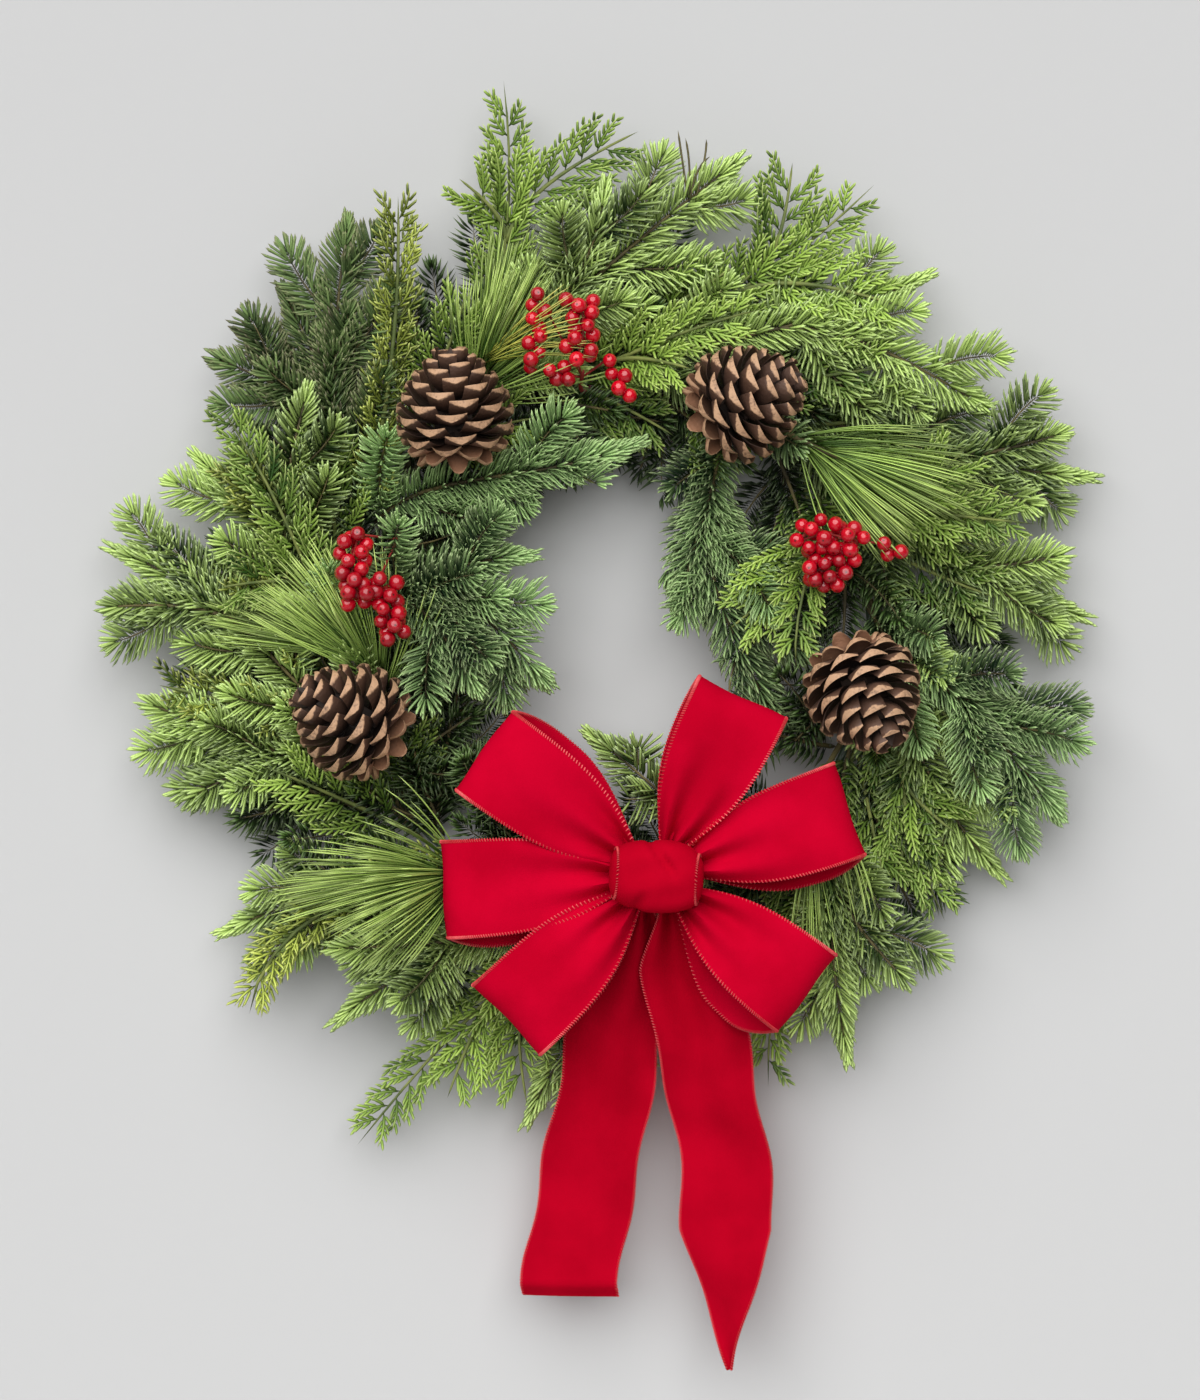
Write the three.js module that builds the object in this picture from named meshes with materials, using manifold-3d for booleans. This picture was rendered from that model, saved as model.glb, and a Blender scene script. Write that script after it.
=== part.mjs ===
// Fresh evergreen wreath: fir, cedar, pine and juniper sprays in a 14-inch clamp ring, with cones,
// berries and a velvet bow. Millimetres, +Z up, +X right, and +Y towards the wall behind it.
import * as THREE from "three";
import { mergeVertices } from "three/addons/utils/BufferGeometryUtils.js";
import Module from "manifold-3d";

const wasm = await Module();
wasm.setup();

// Driving dimensions
const RING_RADIUS = 178;
const WIRE_RADIUS = 2.4;
const RING_STEPS = 36;
const CLAMP_COUNT = 12;
const CLAMP_START = 15;
const CLAMP_REACH = 8.9;
const PRONG_RADIUS = 1.1;
const BUTT_ANGLE = 7;
const RELEASE_ANGLE = 4;
const BARE_LENGTH = 26;
const STEM_POINT = 7;
const WALL_CLEARANCE = 1;
const RIBBON_WIDTH = 63.5;
const RIBBON_THICKNESS = 1.4;
const BERRY_RADIUS = 4.8;
const FLORAL_WIRE_RADIUS = 0.7;
const SHORTEST_DETAIL = 0.05;
const CONE_LENGTH = 92;
const CONE_RADIUS = 39;

// Where a stem lies on the ring wire, as its distance from the wire's centre and its angle
// from straight outwards to straight forwards
const SEATS = {
  outer: { distance: 5.5, angle: 30 },
  front: { angle: 90 },
  inner: { distance: 5.5, angle: 150 },
};

const FRONT = new THREE.Vector3(0, -1, 0);
const radians = THREE.MathUtils.degToRad;
const point = (x, y, z) => new THREE.Vector3(x, y, z);

// A repeatable number from 0 to 1 for a whole number and a seed
function chance(seed, index) {
  const wave = Math.sin(seed * 127.1 + index * 311.7) * 43758.5453;
  return wave - Math.floor(wave);
}

// Solids and meshes
function solidFrom(positions, indices) {
  const mesh = new wasm.Mesh({
    numProp: 3,
    vertProperties: new Float32Array(positions),
    triVerts: new Uint32Array(indices),
  });
  mesh.merge();
  return new wasm.Manifold(mesh);
}

function bareNet(geometry) {
  geometry.deleteAttribute("normal");
  geometry.deleteAttribute("uv");
  return mergeVertices(geometry, 1e-4);
}

function solidOf(geometry) {
  const net = bareNet(geometry);
  return solidFrom(net.attributes.position.array, net.index.array);
}

function namedMesh(name, solid, material) {
  const shape = solid.simplify(SHORTEST_DETAIL).getMesh();
  const geometry = new THREE.BufferGeometry();
  geometry.setAttribute("position", new THREE.BufferAttribute(shape.vertProperties, 3));
  geometry.setIndex(new THREE.BufferAttribute(shape.triVerts, 1));
  geometry.computeVertexNormals();
  const mesh = new THREE.Mesh(geometry, material);
  mesh.name = name;
  return mesh;
}

// Finishes
const finish = (color, roughness, metalness = 0) =>
  new THREE.MeshStandardMaterial({ color, roughness, metalness });
const FINISHES = {
  ring: finish(0x4b5a45, 0.5, 0.7),
  wire: finish(0x3f4a3a, 0.5, 0.7),
  fir: finish(0x3f6b3c, 0.6),
  cedar: finish(0x5c9440, 0.6),
  pine: finish(0x6f9a4a, 0.55),
  juniper: finish(0x7a8f3c, 0.6),
  cone: finish(0x8a6247, 0.75),
  berry: finish(0xb3182a, 0.3),
  velvet: finish(0xb80d26, 0.9),
};

// Keeps the space that each stem, needle, cone, berry and ribbon fills, as rounded rods, so that
// what would cross another piece is bent clear of it
class Room {
  constructor(cell) {
    this.cell = cell;
    this.cells = new Map();
  }

  keys(start, end, radius) {
    const low = start.clone().min(end).subScalar(radius).divideScalar(this.cell).floor();
    const high = start.clone().max(end).addScalar(radius).divideScalar(this.cell).floor();
    const found = [];
    for (let x = low.x; x <= high.x; x++)
      for (let y = low.y; y <= high.y; y++)
        for (let z = low.z; z <= high.z; z++) found.push(`${x},${y},${z}`);
    return found;
  }

  add(start, end, radius, owner, branch = "") {
    const rod = { start, end, radius, owner, branch };
    for (const key of this.keys(start, end, radius)) {
      if (!this.cells.has(key)) this.cells.set(key, []);
      this.cells.get(key).push(rod);
    }
  }

  isFree(start, end, radius, ignores) {
    for (const key of this.keys(start, end, radius + 2))
      for (const rod of this.cells.get(key) ?? []) {
        if (ignores(rod)) continue;
        if (rodDistance(start, end, rod.start, rod.end) < radius + rod.radius) return false;
      }
    return true;
  }
}

// The shortest distance between two straight stretches
function rodDistance(a, b, c, d) {
  const first = b.clone().sub(a);
  const second = d.clone().sub(c);
  const between = a.clone().sub(c);
  const aa = Math.max(first.dot(first), 1e-9);
  const bb = Math.max(second.dot(second), 1e-9);
  const ab = first.dot(second);
  const ac = first.dot(between);
  const bc = second.dot(between);
  const spread = aa * bb - ab * ab;
  const clamp = (value) => Math.min(1, Math.max(0, value));
  let s = spread > 1e-9 ? clamp((ab * bc - ac * bb) / spread) : 0;
  const t = clamp((ab * s + bc) / bb);
  s = clamp((ab * t - ac) / aa);
  return first.multiplyScalar(s).add(a).distanceTo(second.multiplyScalar(t).add(c));
}

const room = new Room(24);

// The clamp ring
const tangentAt = (angle, turn = 1) =>
  point(turn * Math.sin(radians(angle)), 0, -turn * Math.cos(radians(angle)));
const outwardAt = (angle) => point(Math.cos(radians(angle)), 0, Math.sin(radians(angle)));

function ringPoint(angle, outward = 0, forward = 0) {
  return outwardAt(angle).multiplyScalar(RING_RADIUS + outward).addScaledVector(FRONT, forward);
}

// The stretch of a stem or wire that follows the ring wire on its seat
class SeatArc extends THREE.Curve {
  constructor(from, to, outward, forward) {
    super();
    Object.assign(this, { from, to, outward, forward });
  }

  getPoint(t, target = new THREE.Vector3()) {
    const angle = this.from + (this.to - this.from) * t;
    return target.copy(ringPoint(angle, this.outward, this.forward));
  }
}

// A place on a curve with its own axes: along it, towards the front, and to its side
function frameAt(curve, share) {
  const along = curve.getTangent(share).normalize();
  const front = FRONT.clone().addScaledVector(along, -FRONT.dot(along)).normalize();
  const side = along.clone().cross(front);
  return { at: curve.getPoint(share), along, front, side };
}

function fillRoom(curve, radius, steps, owner, branch) {
  const points = curve.getPoints(steps);
  for (let i = 1; i < points.length; i++) room.add(points[i - 1], points[i], radius, owner, branch);
}

// One prong leaves the wire's side and closes over the stems
function prongCurve(angle, sign) {
  const points = [ringPoint(angle, 0.4 * sign, -0.5), ringPoint(angle, 5.5 * sign, -0.6)];
  for (const turn of [0, 26, 52, 78])
    points.push(
      ringPoint(
        angle,
        sign * CLAMP_REACH * Math.cos(radians(turn)),
        CLAMP_REACH * Math.sin(radians(turn)),
      ),
    );
  return new THREE.CatmullRomCurve3(points);
}

const clampAngles = Array.from(
  { length: CLAMP_COUNT },
  (_, i) => CLAMP_START + (i * 360) / CLAMP_COUNT,
);

function clampRing() {
  const profile = [];
  for (let i = 0; i <= 6; i++) {
    const turn = radians(30 - 60 * i);
    profile.push(
      new THREE.Vector2(
        RING_RADIUS + WIRE_RADIUS * Math.sin(turn),
        WIRE_RADIUS * Math.cos(turn),
      ),
    );
  }
  let ring = solidOf(new THREE.LatheGeometry(profile, RING_STEPS));
  fillRoom(new SeatArc(0, 360, 0, 0), WIRE_RADIUS, 72, "wreath_ring");
  for (const angle of clampAngles)
    for (const sign of [-1, 1]) {
      const curve = prongCurve(angle, sign);
      ring = ring.add(rodAcross(curve, PRONG_RADIUS, 4));
      fillRoom(curve, PRONG_RADIUS, 6, "wreath_ring");
    }
  return ring;
}

// A rod whose curve may run towards the front, with its rows set square to the ring's tangent
function rodAcross(curve, radius, steps) {
  const tube = bareNet(new THREE.CylinderGeometry(1, 1, 1, 3, steps));
  const places = tube.attributes.position;
  const middle = curve.getPoint(0);
  const across = tangentAt(THREE.MathUtils.radToDeg(Math.atan2(middle.z, middle.x)));
  const positions = [];
  for (let i = 0; i < places.count; i++) {
    const share = places.getY(i) + 0.5;
    const along = curve.getTangent(share);
    const lift = across.clone().cross(along).normalize();
    const at = curve.getPoint(share);
    at.addScaledVector(across, places.getX(i) * radius);
    at.addScaledVector(lift, places.getZ(i) * radius);
    positions.push(at.x, at.y, at.z);
  }
  return solidFrom(positions, tube.index.array);
}

// Foliage styles. Whorls of needles stand on short rings of the stem's facets, whorlLength long
// and pitch apart; a flat style has leaflets at both edges of every pitch.
const ROUND_SECTION = [
  [0, 1],
  [0.866, -0.5],
  [-0.866, -0.5],
];
const FLAT_SECTION = [
  [0, -0.8],
  [-1, 0.1],
  [1, 0.1],
];
const STYLES = {
  fir: {
    finish: FINISHES.fir,
    section: ROUND_SECTION,
    whorlLength: 3,
    pitch: 40,
    needle: 21,
    room: 1.3,
    tilt: 52,
    sweep: 0.25,
    butt: 2.8,
    seatRise: 3.9,
    twig: 1.5,
    shootEvery: 124,
    shoot: 44,
    shootAngle: 46,
  },
  juniper: {
    finish: FINISHES.juniper,
    section: ROUND_SECTION,
    whorlLength: 3,
    pitch: 22,
    needle: 13,
    room: 1.1,
    tilt: 30,
    sweep: 0.1,
    butt: 2.8,
    seatRise: 3.9,
    twig: 1.4,
    shootEvery: 58,
    shoot: 36,
    shootAngle: 28,
  },
  cedar: {
    finish: FINISHES.cedar,
    section: FLAT_SECTION,
    flat: true,
    pitch: 27,
    needle: 26,
    room: 1.3,
    tilt: 40,
    sweep: 0,
    butt: 2.2,
    seatRise: 4.3,
    twig: 1.8,
    shootEvery: 100,
    shoot: 48,
    shootAngle: 42,
  },
  pine: {
    finish: FINISHES.pine,
    section: Array.from({ length: 5 }, (_, i) => [
      Math.sin(radians(72 * i)),
      Math.cos(radians(72 * i)),
    ]),
    whorlLength: 3.5,
    pitch: 7,
    needle: 92,
    room: 1.8,
    sweep: 0.1,
    butt: 2.4,
    seatRise: 4.7,
    twig: 2.4,
    tuftLength: 30,
  },
};

// A stem with its needles or leaflets. Its facets along a whorl are drawn out to points.
class Stem {
  constructor({ owner, branch, style, curve, start, end, bare, seed }) {
    Object.assign(this, { owner, branch, style, curve, start, end, bare, seed });
    this.length = curve.getLength();
    this.stations = [];
    this.whorls = new Set();
    this.measure();
  }

  // Rows of the stem in millimetres along it, and which of them start a whorl
  measure() {
    const { pitch, whorlLength, flat, tuftLength } = this.style;
    const first = tuftLength ? this.length - tuftLength : this.bare;
    const bareSteps = Math.max(1, Math.ceil(first / 26));
    for (let i = 0; i < bareSteps; i++) this.stations.push((first * i) / bareSteps);
    const last = this.length - (flat ? 0.4 : 0.25) * pitch;
    const count = Math.max(1, Math.round((last - first) / pitch));
    const step = (last - first) / count;
    for (let i = 0; i < count; i++) {
      this.whorls.add(this.stations.length);
      this.stations.push(first + i * step);
      if (!flat) this.stations.push(first + i * step + whorlLength);
    }
    this.stations.push(this.length);
  }

  // The middle of the stem as it is built, in straight stretches between its stations
  middleAt(share) {
    const place = share * this.length;
    const row = Math.max(1, this.stations.findIndex((station) => station >= place));
    const [from, to] = [this.stations[row - 1], this.stations[row]];
    const start = this.curve.getPoint(from / this.length);
    return start.lerp(this.curve.getPoint(to / this.length), (place - from) / (to - from));
  }

  radiusAt(share) {
    return this.start + (this.end - this.start) * share;
  }

  fill() {
    for (let i = 1; i < this.stations.length; i++) {
      const [from, to] = [this.stations[i - 1], this.stations[i]].map((s) => s / this.length);
      room.add(
        this.curve.getPoint(from),
        this.curve.getPoint(to),
        this.radiusAt(from) + 0.2,
        this.owner,
        this.branch,
      );
    }
    const { at, along } = frameAt(this.curve, 1);
    const tip = at.clone().addScaledVector(along, STEM_POINT);
    room.add(at, tip, this.end, this.owner, this.branch);
  }

  // Where a needle from the facet at this place and direction would end
  needleEnd(root, frame, across, towards, order) {
    const { style } = this;
    const share = root.share;
    const spread = chance(this.seed, order);
    let tilt = style.tilt;
    let length = style.needle * (0.85 + 0.25 * spread);
    if (style.flat) length *= 0.35 + 0.65 * Math.sin(Math.PI * Math.min(1, 0.25 + 0.72 * share));
    else if (style.tuftLength) tilt = 14 + 52 * root.depth + 6 * (spread - 0.5);
    else length *= 1 - 0.35 * share;
    const out = frame.side.clone().multiplyScalar(across).addScaledVector(frame.front, towards);
    out.normalize();
    if (style.flat) out.copy(frame.side).multiplyScalar(Math.sign(across));
    const heading = frame.along.clone().multiplyScalar(Math.cos(radians(tilt)));
    heading.addScaledVector(out, Math.sin(radians(tilt)));
    heading.addScaledVector(frame.front, style.sweep * (towards > -0.4 ? 1 : 0));
    return root.at.clone().addScaledVector(heading.normalize(), length);
  }

  isOwn(rod) {
    return rod.owner === this.owner && rod.branch === this.branch;
  }

  grow() {
    const { section, style } = { section: this.style.section, style: this.style };
    const rows = this.stations.length - 1;
    const tube = bareNet(new THREE.CylinderGeometry(1, 1, 1, section.length, rows));
    const places = tube.attributes.position;
    const frames = this.stations.map((s) => frameAt(this.curve, Math.min(1, s / this.length)));
    const spots = [];
    const positions = [];
    for (let i = 0; i < places.count; i++) {
      const row = Math.round((places.getY(i) + 0.5) * rows);
      const { at, along, front, side } = frames[row];
      const radius = this.radiusAt(this.stations[row] / this.length);
      const turn = Math.atan2(places.getX(i), places.getZ(i)) / (2 * Math.PI);
      const corner = Math.round((turn + 1) * section.length) % section.length;
      const isAxis = Math.hypot(places.getX(i), places.getZ(i)) < 0.5;
      const [across, towards] = isAxis ? [0, 0] : section[corner];
      const spot = at.clone();
      spot.addScaledVector(side, across * radius).addScaledVector(front, towards * radius);
      if (isAxis && row === rows) spot.addScaledVector(along, STEM_POINT);
      spots.push({ row, corner: isAxis ? -1 : corner, across, towards, spot });
      positions.push(spot.x, spot.y, spot.z);
    }
    const indices = [];
    const faces = tube.index.array;
    for (let f = 0; f < faces.length; f += 3) {
      const ids = [faces[f], faces[f + 1], faces[f + 2]];
      const end = this.needleOn(ids.map((id) => spots[id]), frames, f);
      if (!end) {
        indices.push(...ids);
        continue;
      }
      const tip = positions.length / 3;
      positions.push(end.x, end.y, end.z);
      indices.push(ids[0], ids[1], tip, ids[1], ids[2], tip, ids[2], ids[0], tip);
    }
    return solidFrom(positions, indices);
  }

  needleOn(corners, frames, order) {
    const row = Math.min(...corners.map((c) => c.row));
    const isSide = corners.every((c) => c.corner >= 0) && corners.some((c) => c.row > row);
    if (!isSide || !this.whorls.has(row)) return null;
    if (this.style.flat && !corners.some((c) => c.corner === 0)) return null;
    const mean = (key) => (corners[0][key] + corners[1][key] + corners[2][key]) / 3;
    const at = corners[0].spot.clone().add(corners[1].spot).add(corners[2].spot).divideScalar(3);
    const station = this.stations[row];
    const root = { at, share: station / this.length };
    const tuft = this.style.tuftLength ?? 1;
    root.depth = (this.length - station) / tuft;
    const end = this.needleEnd(root, frames[row], mean("across"), mean("towards"), order);
    const edges = [at];
    if (this.style.flat)
      for (let i = 0; i < 12; i++) {
        const [from, to] = [corners[i % 3], corners[(i + 1) % 3]];
        edges.push(from.spot.clone().lerp(to.spot, Math.floor(i / 3) / 4));
      }
    const starts = edges.map((edge) => edge.clone().lerp(end, 2.5 / edge.distanceTo(end)));
    const isFree = (start) => room.isFree(start, end, this.style.room, (rod) => this.isOwn(rod));
    if (end.y > WALL_CLEARANCE || !starts.every(isFree)) return null;
    for (const start of starts) room.add(start, end, this.style.room, this.owner, this.branch);
    return end;
  }
}

// A spray: its main stem runs along its seat, through its clamp, and on to its tip. Limbs fork
// from the main stem to tips of their own, and side shoots stand along all of them.
class Spray {
  constructor(name, kind, clamp, seat, { tip, heading, lift, limbs = [] }) {
    Object.assign(this, { name, clamp, seat, lift, heading });
    this.style = STYLES[kind];
    this.tip = point(...tip);
    this.limbs = limbs;
    this.seed = name.length + clamp;
    this.stems = [];
  }

  mainCurve() {
    const { angle, distance = this.style.seatRise } = SEATS[this.seat];
    const outward = distance * Math.cos(radians(angle));
    const forward = distance * Math.sin(radians(angle));
    const release = this.clamp - RELEASE_ANGLE;
    const start = ringPoint(release, outward, forward);
    const reach = start.distanceTo(this.tip);
    const leave = start.clone().addScaledVector(tangentAt(release), 0.3 * reach);
    leave.addScaledVector(FRONT, this.lift);
    const aim = point(Math.cos(radians(this.heading)), 0, Math.sin(radians(this.heading)));
    const arrive = this.tip.clone().addScaledVector(aim, -0.38 * reach);
    arrive.addScaledVector(FRONT, 0.5 * this.lift);
    const path = new THREE.CurvePath();
    path.add(new SeatArc(this.clamp + BUTT_ANGLE, release, outward, forward));
    path.add(new THREE.CubicBezierCurve3(start, leave, arrive, this.tip));
    this.seatLength = path.curves[0].getLength();
    return path;
  }

  limbCurve(main, share, tip) {
    const { along } = frameAt(main.curve, share);
    const at = main.middleAt(share);
    const leave = at.clone().addScaledVector(along, 0.3 * at.distanceTo(tip));
    const arrive = leave.clone().lerp(tip, 0.55).addScaledVector(FRONT, 6);
    return new THREE.CubicBezierCurve3(at, leave, arrive, tip);
  }

  addStem(curve, branch, start, end, bare) {
    const { name: owner, style, seed } = this;
    const stem = new Stem({ owner, branch, style, curve, start, end, bare, seed: seed + branch });
    stem.fill();
    this.stems.push(stem);
    return stem;
  }

  growMain() {
    const { butt, twig } = this.style;
    const main = this.addStem(this.mainCurve(), 0, butt, twig, this.seatLength + BARE_LENGTH);
    this.limbs.forEach(([share, ...tip], i) =>
      this.addStem(
        this.limbCurve(main, share, point(...tip)),
        i + 1,
        1.25 * twig,
        0.8 * twig,
        12,
      ),
    );
  }

  // Side shoots alternate from side to side, and lean to the front or back where that is free
  growShoots() {
    const { shootEvery, shoot, shootAngle, twig } = this.style;
    if (!shootEvery) return;
    for (const parent of [...this.stems]) {
      const first = parent.bare + 0.3 * shootEvery;
      const count = Math.floor((parent.length - first - 0.4 * shoot) / shootEvery) + 1;
      for (let i = 0; i < count; i++) {
        const share = (first + i * shootEvery) / parent.length;
        const side = (i + parent.branch) % 2 ? 1 : -1;
        const reach = shoot * (1.1 - 0.5 * share) * (0.85 + 0.3 * chance(this.seed, i));
        for (const lean of [0.1, 0.5, -0.4, 0.9]) {
          const curve = this.shootCurve(parent, share, side, reach, shootAngle, lean);
          if (!this.isFree(curve)) continue;
          this.addStem(curve, this.stems.length, 1.1 * twig, 0.7 * twig, 7);
          break;
        }
      }
    }
  }

  shootCurve(parent, share, side, reach, angle, lean) {
    const frame = frameAt(parent.curve, share);
    const at = parent.middleAt(share);
    const towards = (turn) =>
      frame.along
        .clone()
        .multiplyScalar(Math.cos(radians(turn)))
        .addScaledVector(frame.side, side * Math.sin(radians(turn)))
        .addScaledVector(frame.front, lean)
        .normalize();
    const middle = at.clone().addScaledVector(towards(angle + 12), 0.5 * reach);
    const end = at.clone().addScaledVector(towards(angle), reach);
    return new THREE.QuadraticBezierCurve3(at, middle, end);
  }

  isFree(curve) {
    const points = curve.getPoints(4);
    points.push(points[4].clone().addScaledVector(curve.getTangent(1), STEM_POINT));
    return points.every(
      (spot, i) =>
        i === 0 ||
        room.isFree(points[i - 1], spot, 3, (rod) => rod.owner === this.name),
    );
  }

  solid() {
    return this.stems.map((stem) => stem.grow()).reduce((whole, part) => whole.add(part));
  }
}

// Sprays, clockwise from the top left, with the clamp's angle, the seat, and tips in x, y, z
const SPRAYS = [
  new Spray("pine_tuft_top", "pine", 135, "inner", {
    tip: [-74, -42, 192],
    heading: 84,
    lift: 20,
  }),
  new Spray("pine_tuft_right", "pine", 75, "front", {
    tip: [166, -56, 112],
    heading: -14,
    lift: 14,
  }),
  new Spray("pine_tuft_left", "pine", 225, "inner", {
    tip: [-172, -50, -10],
    heading: 172,
    lift: 8,
  }),
  new Spray("pine_tuft_lower_left", "pine", 255, "front", {
    tip: [-124, -64, -160],
    heading: 190,
    lift: 10,
  }),
  new Spray("pine_tuft_lower_right", "pine", 345, "inner", {
    tip: [136, -44, -140],
    heading: -72,
    lift: 24,
  }),
  new Spray("cedar_top", "cedar", 135, "outer", {
    tip: [-67, -30, 366],
    heading: 97,
    lift: 16,
    limbs: [
      [0.62, -96, -40, 300],
      [0.6, 22, -34, 332],
    ],
  }),
  new Spray("cedar_upper_right", "cedar", 105, "outer", {
    tip: [178, -34, 297],
    heading: 45,
    lift: 14,
    limbs: [
      [0.62, 124, -30, 312],
      [0.58, 200, -44, 214],
    ],
  }),
  new Spray("cedar_front_top", "cedar", 105, "inner", {
    tip: [103, -66, 212],
    heading: 14,
    lift: 44,
    limbs: [[0.42, 56, -78, 172]],
  }),
  new Spray("cedar_right", "cedar", 45, "front", {
    tip: [284, -50, 72],
    heading: -6,
    lift: 36,
    limbs: [[0.5, 236, -62, 122]],
  }),
  new Spray("cedar_inner_right", "cedar", 45, "inner", {
    tip: [124, -84, -24],
    heading: -84,
    lift: 30,
    limbs: [[0.5, 80, -60, 2]],
  }),
  new Spray("cedar_lower_right", "cedar", 15, "outer", {
    tip: [225, -30, -190],
    heading: -64,
    lift: 16,
    limbs: [
      [0.6, 232, -44, -132],
      [0.66, 190, -36, -176],
    ],
  }),
  new Spray("cedar_bottom_right", "cedar", 345, "outer", {
    tip: [108, -26, -300],
    heading: -88,
    lift: 14,
    limbs: [[0.6, 76, -34, -262]],
  }),
  new Spray("cedar_bottom", "cedar", 285, "outer", {
    tip: [-164, -28, -338],
    heading: 232,
    lift: 16,
    limbs: [
      [0.5, -104, -38, -306],
      [0.38, -44, -40, -346],
    ],
  }),
  new Spray("cedar_left", "cedar", 195, "front", {
    tip: [-254, -48, 152],
    heading: 124,
    lift: 40,
    limbs: [[0.4, -252, -66, 30]],
  }),
  new Spray("juniper_upper_left", "juniper", 165, "front", {
    tip: [-136, -48, 288],
    heading: 92,
    lift: 34,
  }),
  new Spray("juniper_lower_left", "juniper", 255, "inner", {
    tip: [-234, -46, -250],
    heading: 262,
    lift: 42,
  }),
  new Spray("fir_top", "fir", 135, "front", {
    tip: [0, -44, 294],
    heading: 86,
    lift: 26,
    limbs: [[0.5, 87, -32, 312]],
  }),
  new Spray("fir_upper_right", "fir", 105, "front", {
    tip: [210, -28, 236],
    heading: 26,
    lift: 30,
    limbs: [[0.62, 248, -34, 152]],
  }),
  new Spray("fir_right_upper", "fir", 75, "outer", {
    tip: [320, -24, 104],
    heading: -4,
    lift: 14,
    limbs: [[0.66, 300, -34, 132]],
  }),
  new Spray("fir_right", "fir", 45, "outer", {
    tip: [316, -22, 12],
    heading: -18,
    lift: 14,
    limbs: [[0.6, 300, -36, 52]],
  }),
  new Spray("fir_right_lower", "fir", 15, "inner", {
    tip: [302, -40, -72],
    heading: -22,
    lift: 38,
    limbs: [[0.56, 298, -30, -118]],
  }),
  new Spray("fir_lower_right", "fir", 15, "front", {
    tip: [261, -22, -158],
    heading: -46,
    lift: 26,
  }),
  new Spray("fir_bottom_right", "fir", 345, "front", {
    tip: [160, -34, -278],
    heading: -78,
    lift: 26,
    limbs: [[0.5, 196, -44, -226]],
  }),
  new Spray("fir_bottom", "fir", 315, "outer", {
    tip: [-50, -24, -320],
    heading: 248,
    lift: 14,
    limbs: [[0.55, 22, -34, -290]],
  }),
  new Spray("fir_bottom_left", "fir", 285, "front", {
    tip: [-175, -44, -254],
    heading: 222,
    lift: 30,
    limbs: [[0.5, -176, -56, -206]],
  }),
  new Spray("fir_lower_left", "fir", 255, "outer", {
    tip: [-250, -24, -196],
    heading: 206,
    lift: 14,
    limbs: [[0.6, -208, -34, -214]],
  }),
  new Spray("fir_left_lower", "fir", 225, "outer", {
    tip: [-290, -24, -78],
    heading: 188,
    lift: 14,
    limbs: [
      [0.55, -272, -34, -108],
      [0.5, -300, -40, -46],
    ],
  }),
  new Spray("fir_left", "fir", 225, "front", {
    tip: [-324, -34, 56],
    heading: 160,
    lift: 30,
    limbs: [[0.66, -326, -42, 18]],
  }),
  new Spray("fir_left_upper", "fir", 195, "outer", {
    tip: [-268, -26, 116],
    heading: 138,
    lift: 14,
    limbs: [[0.5, -196, -48, 158]],
  }),
  new Spray("fir_upper_left", "fir", 165, "outer", {
    tip: [-212, -26, 226],
    heading: 116,
    lift: 14,
    limbs: [
      [0.45, -256, -34, 182],
      [0.5, -170, -36, 270],
    ],
  }),
  new Spray("fir_inner_left", "fir", 195, "inner", {
    tip: [-32, -64, 50],
    heading: -6,
    lift: 46,
    limbs: [
      [0.55, -40, -52, -30],
      [0.48, -84, -74, -34],
    ],
  }),
  new Spray("fir_inner_top", "fir", 165, "inner", {
    tip: [20, -58, 124],
    heading: 24,
    lift: 40,
    limbs: [[0.62, -30, -44, 88]],
  }),
  new Spray("fir_inner_right", "fir", 75, "inner", {
    tip: [38, -48, -8],
    heading: -92,
    lift: 34,
    limbs: [[0.5, 106, -40, 20]],
  }),
  new Spray("fir_inner_bottom", "fir", 315, "inner", {
    tip: [-22, -40, -58],
    heading: 150,
    lift: 30,
  }),
];

// Cones: a spindle whose facets, row by row, are drawn out into scales
const CONE_ROWS = 7;
const CONE_SECTORS = 8;

const coneProfile = (share) => Math.sin(Math.PI * (0.17 + 0.8 * share)) ** 0.75;

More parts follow.
